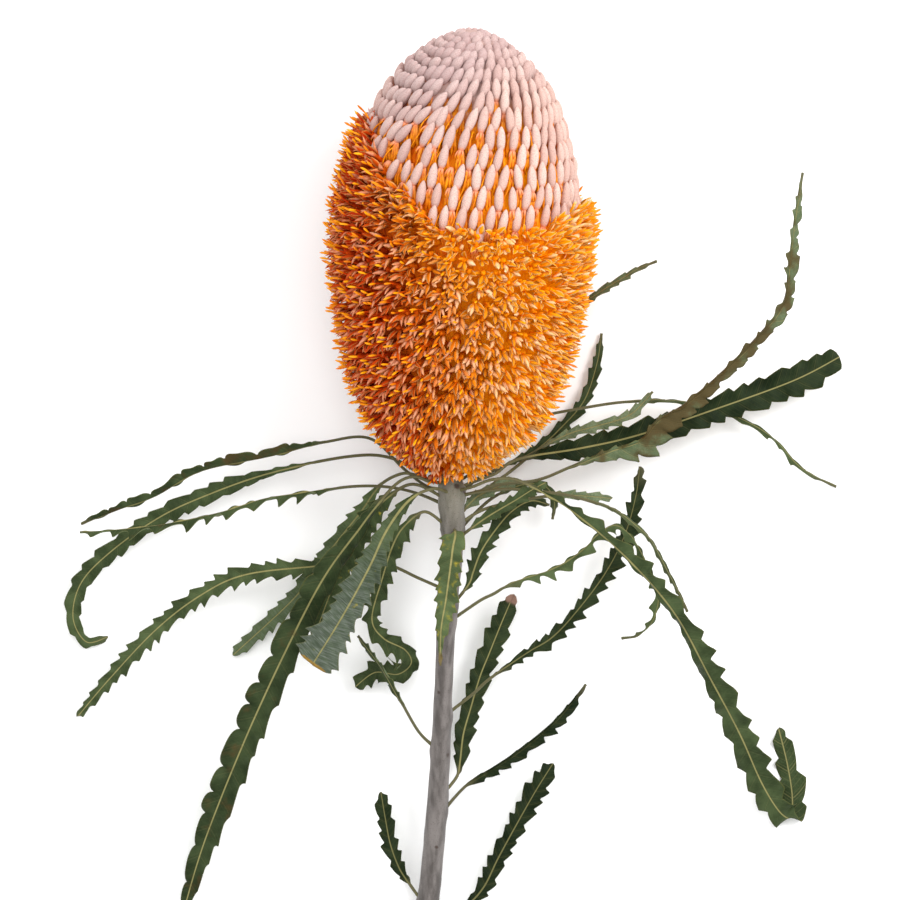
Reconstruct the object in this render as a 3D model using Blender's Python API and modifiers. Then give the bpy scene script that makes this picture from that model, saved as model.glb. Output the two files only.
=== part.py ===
# Banksia flower: a cut stem with its flower head and its toothed leaves, lying on a surface.
# Sizes in this file are millimetres, turned into metres when a mesh is made. +X is to the right,
# +Y runs from the cut end of the stem to the top of the head, and +Z is up from the surface.
# The origin is the flat spot under the head on which the flower lies.

import math
import random

import bmesh
import bpy
from mathutils import Vector

MM = 0.001
SEED = 11

# The flower leans on its head and on the cut end of its stem.
HEAD_BASE = Vector((-2.6, -57.6, 28.75))
HEAD_TOP = Vector((3.9, 75.0, 52.3))
STEM_END_Y = -199.5
STEM_END_Z = 3.25
GAP = 0.35

# Outline of the core of the head: height above the head's base, and radius.
CORE_OUTLINE = [
    (0.0, 4.2), (1.5, 7.0), (4.5, 10.2), (9.0, 14.2), (14.0, 18.2), (22.0, 22.8), (30.0, 26.0),
    (37.0, 28.2), (52.0, 31.4), (67.0, 33.2), (77.0, 33.1), (90.0, 31.3), (104.0, 27.0),
    (116.0, 21.6), (125.4, 14.8), (131.5, 7.6), (134.0, 2.2),
]
# Height at which the buds start: all round, and how much higher on the left.
OPEN_HEIGHT = 77.0
OPEN_RISE_LEFT = 31.0
OPEN_RISE_RIGHT = 3.0

# Florets and buds stand in bands round the head. The fringe at the base and the crown at the top
# have half as many columns, and BAND_STEP is the way up the outline that the change takes.
COLUMNS = 38
BAND_STEP = 2.6
FRINGE_ROWS = 4
FRINGE_END = 15.0
FLORET_ROWS = 24
FLORET_LENGTH = 7.6
FLORET_START_SHARE = 0.5
FULL_LENGTH_HEIGHT = 12.0
CAP_HEIGHT = OPEN_HEIGHT + 8.0
REST_SPOT_HALF = (1.6, 2.2)

# How florets lean above the plane across the head, in degrees: hanging at the base, then rising.
HANGING_HEIGHT = 14.0
LEAN_AT_BASE = -48.0
LEAN_LOW = -12.0
LEAN_HIGH = 13.6
LEAN_AT_BUDS = 4.0
HIGH_SHARE = 0.8
LEAN_SPREAD = 6.0

BUD_ROWS = 8
BUD_HEIGHT = 2.6
BUD_SHOULDER = 0.8
BUD_HALF_RIDGE = 0.24
CROWN_ROWS = 6
CROWN_START = 0.66
CROWN_STEP = 2.0
CROWN_FLATTER = 0.55
TIP_RISE = 0.8

# Stem: y along it, x of its centre, radius.
STEM_ROUTE = [
    (-58.2, -2.5, 3.2), (-64.0, -2.2, 3.5), (-70.0, -2.1, 3.4), (-84.0, -2.1, 3.1),
    (-103.5, -3.9, 2.9), (-122.0, -4.6, 2.75), (-155.0, -6.3, 3.1), (-186.0, -9.0, 3.3),
    (STEM_END_Y, -10.2, 3.4),
]

BLADE_THICKNESS = 0.7
STALK_THICKNESS = 1.4
STALK_HALF_WIDTH = 0.75
TOOTH_PITCH = 7.5
TOOTH_DEPTH = 0.36
TOOTH_POINT = 0.7
BLADE_FOLD = 0.14
WAVE_HEIGHT = 0.13
WAVE_LENGTH = 17.0
STALK_STEP = 7.0
LEVELLING = 0.25

GREEN = (0.075, 0.115, 0.065)
DARK_GREEN = (0.035, 0.065, 0.04)
PALE_GREEN = (0.2, 0.24, 0.17)

# Each leaf: where its stalk leaves the stem (y, and the angle round the stem: 0 right, 90 up),
# the points of its midrib, half its width, the share that is stalk, the width left at its tip,
# how far its blade is turned about the midrib in degrees (start, middle, end), and its colour.
LEAVES = {
    "leaf_left_1": (
        (-63.2, 203), [(-10, -61.8, 23.5), (-17, -56.4, 18.5), (-27, -47.5, 16), (-40.5, -48.6, 18),
                       (-57.6, -52.8, 19), (-78.3, -57.3, 16), (-92, -64.8, 12),
                       (-102.6, -68.7, 8), (-115, -73.5, 3.2)],
        3.4, 0.34, 0.2, (70, 75, 60), DARK_GREEN),
    "leaf_left_2": (
        (-61.5, 232), [(-9, -60, 17.5), (-20.4, -53.5, 11), (-33.6, -53, 10.5), (-57.6, -58, 11),
                       (-78.3, -65.4, 10.5), (-92, -72, 9), (-106, -82, 8), (-115, -91.5, 6),
                       (-117.5, -102, 4), (-113.5, -109.5, 2), (-107, -108, 1.5)],
        3.5, 0.3, 0.3, (50, 5, 10), GREEN),
    "leaf_left_3": (
        (-67.5, 180), [(-13.2, -63.9, 25.5), (-22.2, -62.1, 24.6), (-33, -62.1, 22),
                       (-47.4, -64.2, 20), (-59, -66, 19), (-72.6, -70.2, 17.5),
                       (-90, -73.8, 15.5), (-106, -75.5, 13), (-115, -76, 11)],
        3.0, 0.28, 0.3, (-60, -70, -60), DARK_GREEN),
    "leaf_left_4": (
        (-93.0, 182), [(-12.3, -89.7, 21), (-21.3, -85.8, 18), (-31, -85.2, 16), (-42, -86.1, 15),
                       (-64.5, -88.8, 14), (-78.3, -95.1, 12), (-92, -105.6, 9),
                       (-106, -120.3, 5), (-116, -132, 1.0)],
        3.8, 0.17, 0.35, (20, -10, 0), GREEN),
    "leaf_left_5": (
        (-61.2, 170), [(-9, -60.2, 28.6), (-13, -58.6, 26.8), (-17.5, -58.2, 24),
                       (-24, -61.8, 19), (-30, -70, 14.5), (-37.2, -79, 10.5), (-44, -88, 8),
                       (-51, -97, 6), (-68.7, -113.4, 1.5)],
        3.4, 0.22, 0.6, (30, 0, 0), PALE_GREEN),
    "leaf_left_6": (
        (-60.8, 140), [(-9, -60.4, 34), (-13.5, -59, 34.8), (-18.6, -61, 34), (-25, -68, 32),
                       (-30.3, -75, 30.5), (-40.5, -89, 27.5), (-50.7, -108.3, 22.5),
                       (-64.5, -138, 13.5), (-77, -169, 5), (-83.5, -190, 0.4)],
        5.3, 0.13, 0.35, (35, 0, 0), DARK_GREEN),
    "leaf_left_7": (
        (-63.5, 112), [(-7, -62.6, 36.5), (-12.3, -64.2, 38.3), (-16.8, -68, 39), (-22.2, -76, 38.8),
                       (-27, -86.4, 37.5), (-35, -101, 34), (-44, -115.5, 28)],
        6.8, 0.17, 0.95, (10, 0, -5), GREEN),
    "leaf_left_8": (
        (-65.5, 160), [(-11.4, -61.8, 30), (-16.2, -61.8, 29.8), (-21.9, -65.7, 28.2),
                       (-25.8, -69.8, 26.5), (-32.1, -79.5, 23), (-37.2, -90, 19.5),
                       (-44, -108, 13)],
        3.4, 0.22, 0.4, (0, 10, 0), GREEN),
    "leaf_left_9": (
        (-73.5, 165), [(-10.2, -69.6, 30.5), (-15.9, -73.2, 30), (-19.8, -79.2, 28),
                       (-23.4, -90.3, 25), (-26.4, -102, 20.5), (-23, -108, 17),
                       (-16.5, -111.6, 14.5), (-14.6, -115.6, 12), (-18.5, -119, 9.5),
                       (-25.5, -118.6, 7.5), (-31.5, -123, 4.5)],
        3.4, 0.1, 0.5, (20, 20, 10), GREEN),
    "leaf_left_10": (
        (-141.0, 170), [(-12.3, -136.2, 15.5), (-18, -126.3, 16.5), (-23.7, -116.4, 16.5),
                        (-30.6, -107.4, 14)],
        1.8, 0.35, 0.3, (60, 60, 50), DARK_GREEN),
    "leaf_left_11": (
        (-188.0, 180), [(-15.6, -182.1, 7), (-18.3, -177.6, 7.5), (-20.8, -170.7, 7.5),
                        (-22.2, -163.8, 7), (-23.7, -155.1, 5.5)],
        3.0, 0.16, 0.4, (10, 10, 0), DARK_GREEN),
    "leaf_right_1": (
        (-65.0, -15), [(6, -63.4, 25.5), (12, -61.5, 24), (24, -60, 22), (34, -56, 21.5),
                       (45.6, -51.3, 22), (55, -48, 23.5), (60.3, -42, 25.5), (68, -37.5, 28),
                       (78, -29, 31), (88.5, -18.6, 33), (97.5, -7.2, 34), (99.3, 4.5, 34),
                       (101, 18.3, 33), (103.5, 32.5, 31)],
        2.9, 0.2, 0.15, (-40, -55, -65), PALE_GREEN),
    "leaf_right_2": (
        (-62.0, 5), [(6.6, -59.8, 26), (11.4, -57.9, 21.5), (15.5, -54.8, 17.2), (22, -52.8, 15.2),
                     (37, -50.4, 15.5), (54, -46.5, 16), (76.5, -39, 15), (101.4, -30, 11),
                     (115.5, -22.8, 8)],
        5.0, 0.2, 0.3, (0, -10, 0), DARK_GREEN),
    "leaf_right_3": (
        (-61.0, -52), [(5.5, -56.8, 16), (14, -48.5, 10.5), (24, -41.4, 9.3), (37, -38.4, 9.8),
                       (52, -36.3, 9.8), (68.7, -36.6, 8), (84, -41, 6), (95.4, -47.4, 5),
                       (104, -56.4, 3), (115, -62.2, 1.2)],
        1.7, 0.45, 0.3, (60, 60, 30), GREEN),
    "leaf_right_4": (
        (-66.0, -58), [(4.5, -60.5, 17), (9, -58, 12.5), (16, -54.8, 8.2), (23.4, -51, 5.5),
                       (30.6, -44.7, 4.3), (38.1, -36, 3.8), (42, -25, 2.6), (43.5, -15.5, 1.2)],
        2.5, 0.3, 0.2, (0, -5, 0), DARK_GREEN),
    "leaf_right_5": (
        (-71.0, -50), [(4.5, -65.5, 16.8), (15, -58, 11.5), (24, -51, 11), (33.3, -46.2, 11),
                       (41, -44, 11.3), (49, -41.7, 12), (53.7, -39, 12.6), (58.8, -33.3, 13.5)],
        2.2, 0.5, 0.3, (0, 10, 10), PALE_GREEN),
    "leaf_right_6": (
        (-61.0, -90), [(1, -54, 11.5), (8.5, -40.5, 4.2), (19.5, -27, 3.2), (30, -15, 7.5),
                        (37.2, -7.2, 11.5), (42.3, -3.5, 14.5), (48.3, 0.2, 18), (54, 3.6, 21),
                        (59.7, 6, 24)],
        1.6, 0.5, 0.2, (0, 20, 20), GREEN),
    "leaf_right_7": (
        (-62.8, 42), [(4.2, -62, 34), (9.5, -60, 37), (15.6, -59.6, 38.6), (21, -61.6, 39.2),
                      (33.9, -69.3, 39), (50.4, -83.4, 36.5), (65, -100.2, 31),
                      (76.2, -120.3, 22.5), (85.2, -137, 14), (92, -152, 8.5), (97.6, -161, 6),
                      (101.2, -162.6, 2.6), (101.6, -156, 0.7), (100, -146, 0.7),
                      (97.5, -136, 0.7)],
        5.4, 0.12, 0.25, (-30, -20, 0), GREEN),
    "leaf_right_8": (
        (-77.0, 18), [(4.5, -74, 28.5), (8.1, -71.4, 30.2), (12.6, -68.6, 31.8),
                      (17.1, -66, 32.8), (21.9, -63, 33.4), (26, -60.8, 33.6)],
        2.7, 0.12, 0.5, (0, -10, 0), GREEN),
    "leaf_right_9": (
        (-74.5, 75), [(-1, -76.5, 32.4), (-1.8, -80.3, 33.8), (-2.4, -85, 33.2), (-3.9, -96, 30.5),
                      (-5.4, -105.3, 27.5), (-5.6, -116, 23.8)],
        5.0, 0.05, 0.15, (0, 0, 0), GREEN),
    "leaf_right_10": (
        (-97.0, 0), [(3, -91.5, 22.5), (4.4, -87.6, 22.5), (6.6, -81.8, 22.8), (10.4, -75.9, 22.6),
                     (15.9, -69.6, 21.4), (21.8, -66.4, 19), (27.3, -67.6, 16.5)],
        3.4, 0.08, 0.2, (0, -10, 0), DARK_GREEN),
    "leaf_right_11": (
        (-64.5, 22), [(6, -63.6, 30.5), (14.1, -62.8, 29.4), (20.4, -63.2, 28.6),
                      (30.3, -64.2, 28.4), (39, -66.3, 28), (46.5, -69, 27.5),
                      (53.4, -74.1, 25.5), (57.9, -78.6, 24), (62.7, -87.3, 20), (66.6, -94.5, 16),
                      (69.3, -100, 13)],
        1.4, 0.42, 0.3, (50, 55, 40), GREEN),
    "leaf_right_12": (
        (-70.5, -14), [(5, -65.6, 22), (8.6, -63.6, 20.8), (12.8, -61.8, 19.8), (17.8, -60.6, 19)],
        2.7, 0.1, 0.3, (10, 10, 10), PALE_GREEN),
    "leaf_right_13": (
        (-73.0, 5), [(6, -69.6, 26), (12, -67.6, 25), (20, -66, 23.8), (30.3, -64.6, 23.4),
                     (39.6, -65, 23.6), (46.2, -65.6, 23.6)],
        1.9, 0.6, 0.6, (0, 0, 0), PALE_GREEN),
    "leaf_right_14": (
        (-76.0, -40), [(4, -71, 19.5), (11, -65, 14), (20, -61.4, 11), (26.3, -62.2, 9.6),
                       (28.9, -66.5, 8), (28.5, -72, 6)],
        1.6, 0.4, 0.3, (0, 0, 20), DARK_GREEN),
    "leaf_right_15": (
        (-130.5, 2), [(4.2, -125, 14.8), (8.7, -120.9, 13.2), (14.4, -117, 12.2),
                      (21.6, -112.2, 11.2), (28, -108.3, 10.5), (34.5, -101.7, 10),
                      (44.1, -89.1, 10), (50.4, -76.8, 11.5), (53.7, -65, 12.8),
                      (54.9, -56, 13)],
        2.6, 0.16, 0.3, (40, 15, 0), DARK_GREEN),
    "leaf_right_16": (
        (-102.0, 5), [(6.3, -96.6, 20.5), (10.5, -94.5, 20), (16.5, -91.2, 19.6),
                      (28.8, -87, 19.2), (36.6, -82.2, 19.8), (42.6, -76.4, 20.2),
                      (47, -74, 20), (51.3, -76.4, 19), (54.4, -81, 17.6), (57.9, -88.2, 15),
                      (60.3, -96, 12), (58.6, -103, 9.5), (54.6, -107.2, 7.5), (49.5, -108.3, 6)],
        2.1, 0.14, 0.2, (30, 40, 30), GREEN),
    "leaf_right_17": (
        (-155.0, -28), [(-0.6, -150.2, 8.4), (0.4, -145.5, 7), (1.4, -137.4, 6.4),
                        (3.6, -129.6, 6.4), (6.4, -120, 6.6), (9.4, -112.5, 7), (13, -103.5, 7.5),
                        (16.6, -95.1, 8)],
        3.6, 0.1, 0.45, (0, 0, 0), DARK_GREEN),
    "leaf_right_18": (
        (-160.0, 5), [(2.4, -152.8, 9.8), (10.5, -147.8, 8), (16.8, -143.7, 7), (24, -138.2, 6),
                      (29.7, -133.2, 5), (34.5, -127.6, 4), (38.7, -122.4, 3)],
        2.3, 0.14, 0.2, (-60, -60, -50), DARK_GREEN),
    "leaf_right_19": (
        (-193.5, 0), [(2, -189.8, 4.6), (7.5, -184.2, 4.4), (11.7, -175.8, 4.4),
                      (15.9, -168, 4.4), (20.1, -160.5, 4.2), (24.3, -153.3, 3.8),
                      (28.6, -146.6, 3)],
        3.4, 0.12, 0.45, (10, 0, 0), DARK_GREEN),
}


def clear_scene():
    for thing in list(bpy.data.objects):
        bpy.data.objects.remove(thing, do_unlink=True)


def make_material(name, colour, roughness):
    material = bpy.data.materials.new(name)
    material.use_nodes = True
    shader = material.node_tree.nodes["Principled BSDF"]
    shader.inputs["Base Color"].default_value = (*colour, 1.0)
    shader.inputs["Roughness"].default_value = roughness
    shader.inputs["Metallic"].default_value = 0.0
    return material


def add_mesh_object(name, mesh_builder, collection, material):
    mesh = bpy.data.meshes.new(name)
    mesh_builder.to_mesh(mesh)
    mesh_builder.free()
    mesh.materials.append(material)
    thing = bpy.data.objects.new(name, mesh)
    collection.objects.link(thing)
    return thing


def smooth_between(points, place):
    """The value of a Catmull-Rom curve through equally weighted points, at place 0 to len - 1."""
    first = max(0, min(int(place), len(points) - 2))
    part = place - first
    before = points[max(first - 1, 0)]
    start, end = points[first], points[first + 1]
    after = points[min(first + 2, len(points) - 1)]
    pull_in, pull_out = (end - before) * 0.5, (after - start) * 0.5
    squared, cubed = part * part, part * part * part
    return (start * (2 * cubed - 3 * squared + 1) + pull_in * (cubed - 2 * squared + part)
            + end * (3 * squared - 2 * cubed) + pull_out * (cubed - squared))


class Route:
    """A smooth curve through points, read by the distance along it."""

    STEPS = 24

    def __init__(self, points):
        points = [Vector(point) for point in points]
        count = (len(points) - 1) * self.STEPS
        self.points = [smooth_between(points, i / self.STEPS) for i in range(count + 1)]
        self.distances = [0.0]
        for start, end in zip(self.points, self.points[1:]):
            self.distances.append(self.distances[-1] + (end - start).length)
        self.length = self.distances[-1]

    def at(self, distance):
        distance = max(0.0, min(distance, self.length))
        last = len(self.points) - 2
        index = next((i for i in range(last) if self.distances[i + 1] >= distance), last)
        span = self.distances[index + 1] - self.distances[index]
        return self.points[index].lerp(self.points[index + 1],
                                       (distance - self.distances[index]) / max(span, 1e-9))

    def heading(self, distance):
        reach = 0.6
        return (self.at(distance + reach) - self.at(distance - reach)).normalized()


# The head's own axes: along it, to its right, and towards the surface that it lies on.
HEAD_AXIS = (HEAD_TOP - HEAD_BASE).normalized()
HEAD_SIDE = HEAD_AXIS.cross(Vector((0, 0, 1))).normalized()
HEAD_UNDER = HEAD_AXIS.cross(HEAD_SIDE).normalized()
CORE = Route([(radius, height, 0.0) for height, radius in CORE_OUTLINE])


def open_height(angle):
    """How high the open florets reach up the head at this angle round it."""
    left, right = max(0.0, -math.cos(angle)), max(0.0, math.cos(angle))
    return OPEN_HEIGHT + OPEN_RISE_LEFT * left ** 1.3 + OPEN_RISE_RIGHT * right ** 2


def distance_at_height(height):
    return next(d for d, point in zip(CORE.distances, CORE.points) if point.y >= height)


def outward(angle):
    return HEAD_SIDE * math.cos(angle) + HEAD_UNDER * math.sin(angle)


def on_core(distance, angle, lift=0.0):
    """A point on the core's surface, by its distance up the outline, moved up the axis by lift."""
    radius, height, _ = CORE.at(distance)
    return HEAD_BASE + HEAD_AXIS * (height + lift) + outward(angle) * radius


def lattice_band(mesh, surface, columns, rows):
    """Rings of points, every second one turned by half a column, with diamond cells between.

    Returns the first ring, the last ring, and each cell's corners, share of the way up and
    angle."""
    rings = []
    for row in range(rows + 1):
        shift = 0.5 * (row % 2)
        rings.append([mesh.verts.new(surface(row / rows, (column + shift) * math.tau / columns))
                      for column in range(columns)])
    cells = []
    for row in range(rows - 1):
        shift = row % 2
        for column in range(columns):
            right = rings[row + 1][(column + shift) % columns]
            left = rings[row + 1][(column + shift - 1) % columns]
            corners = (rings[row][column], right, rings[row + 2][column], left)
            angle = (column + 0.5 * shift) * math.tau / columns
            cells.append((corners, (row + 1) / rows, angle))
    for column in range(columns):
        following = (column + 1) % columns
        mesh.faces.new((rings[0][column], rings[0][following], rings[1][column]))
        mesh.faces.new((rings[rows][following], rings[rows][column], rings[rows - 1][column]))
    return rings[0], rings[rows], cells


def join_rings(mesh, few, many, many_above):
    """Faces between a ring and one of twice as many points."""
    for index in range(len(few)):
        after = (index + 1) % len(few)
        fine = [many[(2 * index + k) % len(many)] for k in range(3)]
        faces = [(few[index], fine[1], fine[0]), (few[index], few[after], fine[1]),
                 (few[after], fine[2], fine[1])]
        for face in faces:
            mesh.faces.new(face if many_above else face[::-1])


def close_ring(mesh, ring, centre, facing_up):
    middle = mesh.verts.new(centre)
    for start, end in zip(ring, ring[1:] + ring[:1]):
        mesh.faces.new((start, end, middle) if facing_up else (end, start, middle))


def floret_lean(height, limit):
    """How far a floret at this height leans up, in degrees; limit is where the buds start."""
    if height < HANGING_HEIGHT:
        return LEAN_AT_BASE + (LEAN_LOW - LEAN_AT_BASE) * height / HANGING_HEIGHT
    share = (height - HANGING_HEIGHT) / (limit - HANGING_HEIGHT)
    if share < HIGH_SHARE:
        return LEAN_LOW + (LEAN_HIGH - LEAN_LOW) * share / HIGH_SHARE
    return LEAN_HIGH + (LEAN_AT_BUDS - LEAN_HIGH) * (share - HIGH_SHARE) / (1.0 - HIGH_SHARE)


def build_open_florets(collection, material):
    mesh = bmesh.new()
    chance = random.Random(SEED)
    pressed = []

    def fringe_distance(share, _):
        return FRINGE_END * share

    def main_distance(share, angle):
        low = FRINGE_END + BAND_STEP
        return low + (distance_at_height(open_height(angle)) - low) * share

    def raise_florets(cells, distance_of):
        for corners, share, angle in cells:
            middle = sum((corner.co for corner in corners), Vector()) / 4
            height = CORE.at(distance_of(share, angle)).y
            lean = floret_lean(height, open_height(angle))
            lean = math.radians(lean + chance.uniform(-LEAN_SPREAD, LEAN_SPREAD))
            grown = FLORET_START_SHARE * (1.0 + height / FULL_LENGTH_HEIGHT)
            reach = FLORET_LENGTH * min(1.0, grown) * chance.uniform(0.9, 1.08)
            aim = outward(angle) * math.cos(lean) + HEAD_AXIS * math.sin(lean)
            tip = mesh.verts.new(middle + aim * reach)
            for start, end in zip(corners, corners[1:] + corners[:1]):
                mesh.faces.new((start, end, tip))
            if tip.co.z < 0.0:
                tip.co.z = 0.0
                pressed.append(tip)

    start, fringe_top, fringe = lattice_band(
        mesh, lambda share, angle: on_core(fringe_distance(share, angle), angle),
        COLUMNS // 2, FRINGE_ROWS)
    raise_florets(fringe, fringe_distance)
    main_start, rim, cells = lattice_band(
        mesh, lambda share, angle: on_core(main_distance(share, angle), angle),
        COLUMNS, FLORET_ROWS)
    raise_florets(cells, main_distance)
    join_rings(mesh, fringe_top, main_start, True)
    close_ring(mesh, start, HEAD_BASE, False)
    close_ring(mesh, rim, HEAD_BASE + HEAD_AXIS * CAP_HEIGHT, True)
    flatten_rest_spot(mesh, pressed)
    return add_mesh_object("open_florets", finished(mesh), collection, material)


def flatten_rest_spot(mesh, pressed):
    """The floret under the origin ends in a small flat spot instead of a point."""
    tip = min(pressed, key=lambda vertex: vertex.co.length)
    corners = list({edge.other_vert(tip) for edge in tip.link_edges})
    middle = sum((corner.co for corner in corners), Vector()) / len(corners)
    corners.sort(key=lambda corner: math.atan2(corner.co.y - middle.y, corner.co.x - middle.x))
    bmesh.ops.delete(mesh, geom=[tip], context="VERTS")
    half_x, half_y = REST_SPOT_HALF
    spot = [mesh.verts.new((side_x * half_x, side_y * half_y, 0.0))
            for side_x, side_y in ((-1, 0), (0, -1), (1, 0), (0, 1))]
    spot = spot[2:] + spot[:2] if corners[0].co.x > middle.x else spot
    for index in range(4):
        after = (index + 1) % 4
        mesh.faces.new((corners[index], corners[after], spot[after], spot[index]))
    mesh.faces.new(spot)
    bmesh.ops.recalc_face_normals(mesh, faces=mesh.faces[:])


def build_unopened_buds(collection, material):
    mesh = bmesh.new()
    top = CORE.length

    def crown_start(angle):
        low = distance_at_height(open_height(angle))
        return low + (top - low) * CROWN_START

    def side_surface(share, angle):
        low = distance_at_height(open_height(angle))
        lift = GAP * max(0.0, 1.0 - 4.0 * share)
        return on_core(low + (crown_start(angle) - low) * share, angle, lift)

    def crown_surface(share, angle):
        low = crown_start(angle) + CROWN_STEP
        return on_core(low + (top - low) * share, angle)

    start, side_top, side_cells = lattice_band(mesh, side_surface, COLUMNS, BUD_ROWS)
    for corners, _, _ in side_cells:
        raise_bud(mesh, corners, BUD_HEIGHT)
    crown_base, tip_ring, crown_cells = lattice_band(mesh, crown_surface, COLUMNS // 2,
                                                     CROWN_ROWS)
    for corners, share, _ in crown_cells:
        raise_bud(mesh, corners, BUD_HEIGHT * (1.0 - CROWN_FLATTER * share))
    join_rings(mesh, crown_base, side_top, False)
    close_ring(mesh, start, HEAD_BASE + HEAD_AXIS * (CAP_HEIGHT + GAP), False)
    close_ring(mesh, tip_ring, HEAD_BASE + HEAD_AXIS * (CORE_OUTLINE[-1][0] + TIP_RISE), True)
    return add_mesh_object("unopened_buds", finished(mesh), collection, material)


def raise_bud(mesh, corners, tall):
    """A bud on a diamond cell: a ridge along it, a little higher at its upper end."""
    bottom, right, upper, left = (corner.co for corner in corners)
    along = (upper - bottom) * BUD_HALF_RIDGE
    middle = (bottom + right + upper + left) / 4
    normal = (right - left).cross(upper - bottom).normalized()
    low = mesh.verts.new(middle - along + normal * tall * BUD_SHOULDER)
    high = mesh.verts.new(middle + along + normal * tall)
    bottom, right, upper, left = corners
    for face in ((bottom, right, low), (right, high, low), (right, upper, high),
                 (upper, left, high), (left, low, high), (left, bottom, low)):
        mesh.faces.new(face)


def finished(mesh):
    """The mesh in triangles, in metres."""
    bmesh.ops.triangulate(mesh, faces=mesh.faces[:])
    bmesh.ops.scale(mesh, vec=(MM, MM, MM), verts=mesh.verts)
    return mesh


STEM = Route([(x, y, radius) for y, x, radius in STEM_ROUTE])


def stem_height(y):
    """The stem runs straight from the head's base down to its cut end on the surface."""
    share = (y - STEM_END_Y) / (HEAD_BASE.y - STEM_END_Y)
    return STEM_END_Z + (HEAD_BASE.z - STEM_END_Z) * share


def stem_at(y):
    """Centre and radius of the stem at this y."""
    x, _, radius = min(STEM.points, key=lambda point: abs(point.y - y))
    return Vector((x, y, stem_height(y))), radius


def build_stem(collection, material):
    data = bpy.data.curves.new("stem", "CURVE")
    data.dimensions = "3D"
    data.bevel_depth = MM
    data.bevel_resolution = 3
    data.use_fill_caps = True
    spline = data.splines.new("POLY")
    stops = 18
    spline.points.add(stops)
    first, last = STEM_ROUTE[0][0], STEM_ROUTE[-1][0]
    for index, point in enumerate(spline.points):
        centre, radius = stem_at(first + (last - first) * index / stops)
        point.co = (*(centre * MM), 1.0)
        point.radius = radius
    thing = bpy.data.objects.new("stem", data)
    data.materials.append(material)
    collection.objects.link(thing)
    return thing


def leaf_root(y, angle):
    """Where a leaf's stalk starts, just off the stem."""
    centre, radius = stem_at(y)
    along = (HEAD_BASE - stem_at(STEM_END_Y)[0]).normalized()
    side = along.cross(Vector((0, 0, 1))).normalized()
    up = side.cross(along)
    turn = math.radians(angle)
    reach = radius + GAP + STALK_THICKNESS * 0.4
    return centre + (side * math.cos(turn) + up * math.sin(turn)) * reach


def blade_width(share, stalk_share, tip_share):
    """Width of the blade as a share of its widest, from its stalk (0) to its tip (1)."""
    if share <= stalk_share:
        return 0.0
    along = (share - stalk_share) / (1.0 - stalk_share)
    grow = min(1.0, along / 0.3)
    shrink = max(0.0, (along - 0.75) / 0.25)
    return (grow * (2.0 - grow)) ** 0.8 * (1.0 - (1.0 - tip_share) * shrink ** 1.6)


def leaf_rows(route, half_width, stalk_share, tip_share):
    """Distances along the midrib with the half-width there: wide at teeth, narrow between them."""
    stalk = route.length * stalk_share
    stalk_steps = max(2, round(stalk / STALK_STEP))
    rows = [(stalk * i / stalk_steps, STALK_HALF_WIDTH) for i in range(stalk_steps + 1)]
    teeth = max(2, round((route.length - stalk) / TOOTH_PITCH))
    pitch = (route.length - stalk) / teeth
    for tooth in range(teeth):
        for part, depth in ((TOOTH_POINT, 0.0), (1.0, TOOTH_DEPTH)):
            distance = stalk + pitch * (tooth + part)
            wide = half_width * blade_width(distance / route.length, stalk_share, tip_share)
            if tooth == teeth - 1 and part == 1.0:
                wide *= 0.8
            rows.append((distance, max(STALK_HALF_WIDTH, wide * (1.0 - depth))))
    return rows


def build_leaf(name, leaf, collection, material):
    (root_y, root_angle), points, half_width, stalk_share, tip_share, turns, _ = leaf
    root = leaf_root(root_y, root_angle)
    route = Route([root] + points)
    mesh = bmesh.new()
    across = None
    floor = BLADE_THICKNESS * 0.75
    strip = []
    for distance, wide in leaf_rows(route, half_width, stalk_share, tip_share):
        heading = route.heading(distance)
        level = heading.cross(Vector((0, 0, 1)))
        if across is None:
            across = level.normalized()
        if level.dot(across) < 0:
            level = -level
        steady = across - heading * across.dot(heading)
        across = (steady.normalized() * LEVELLING + level * level.length).normalized()
        across = (across - heading * across.dot(heading)).normalized()
        share = distance / route.length
        turn = math.radians(turns[0] + (turns[1] - turns[0]) * min(1, share * 2)
                            + (turns[2] - turns[1]) * max(0, share * 2 - 1))
        normal = across.cross(heading)
        side = across * math.cos(turn) + normal * math.sin(turn)
        face = side.cross(heading)
        middle = route.at(distance)
        blade = 1.0 if wide > STALK_HALF_WIDTH * 1.05 else 0.0
        fold = face * wide * BLADE_FOLD * blade
        wave = face * wide * WAVE_HEIGHT * blade * math.sin(distance * math.tau / WAVE_LENGTH)
        strip.append([middle - side * wide + fold + wave, middle,
                      middle + side * wide + fold - wave, blade])
    weights = []
    rows = []
    for left, middle, right, blade in strip:
        row = []
        for point in (left, middle, right):
            point.z = max(point.z, floor)
            row.append(mesh.verts.new(point * MM))
            weights.append(BLADE_THICKNESS / STALK_THICKNESS if blade else 1.0)
        rows.append(row)
    for low, high in zip(rows, rows[1:]):
        mesh.faces.new((low[0], low[1], high[1]))
        mesh.faces.new((low[0], high[1], high[0]))
        mesh.faces.new((low[1], low[2], high[1]))
        mesh.faces.new((low[2], high[2], high[1]))
    thing = add_mesh_object(name, mesh, collection, material)
    group = thing.vertex_groups.new(name="thickness")
    for index, weight in enumerate(weights):
        group.add([index], weight, "REPLACE")
    shell = thing.modifiers.new("blade", "SOLIDIFY")
    shell.thickness = STALK_THICKNESS * MM
    shell.offset = 0.0
    shell.use_even_offset = False
    shell.vertex_group = "thickness"
    return thing


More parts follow.
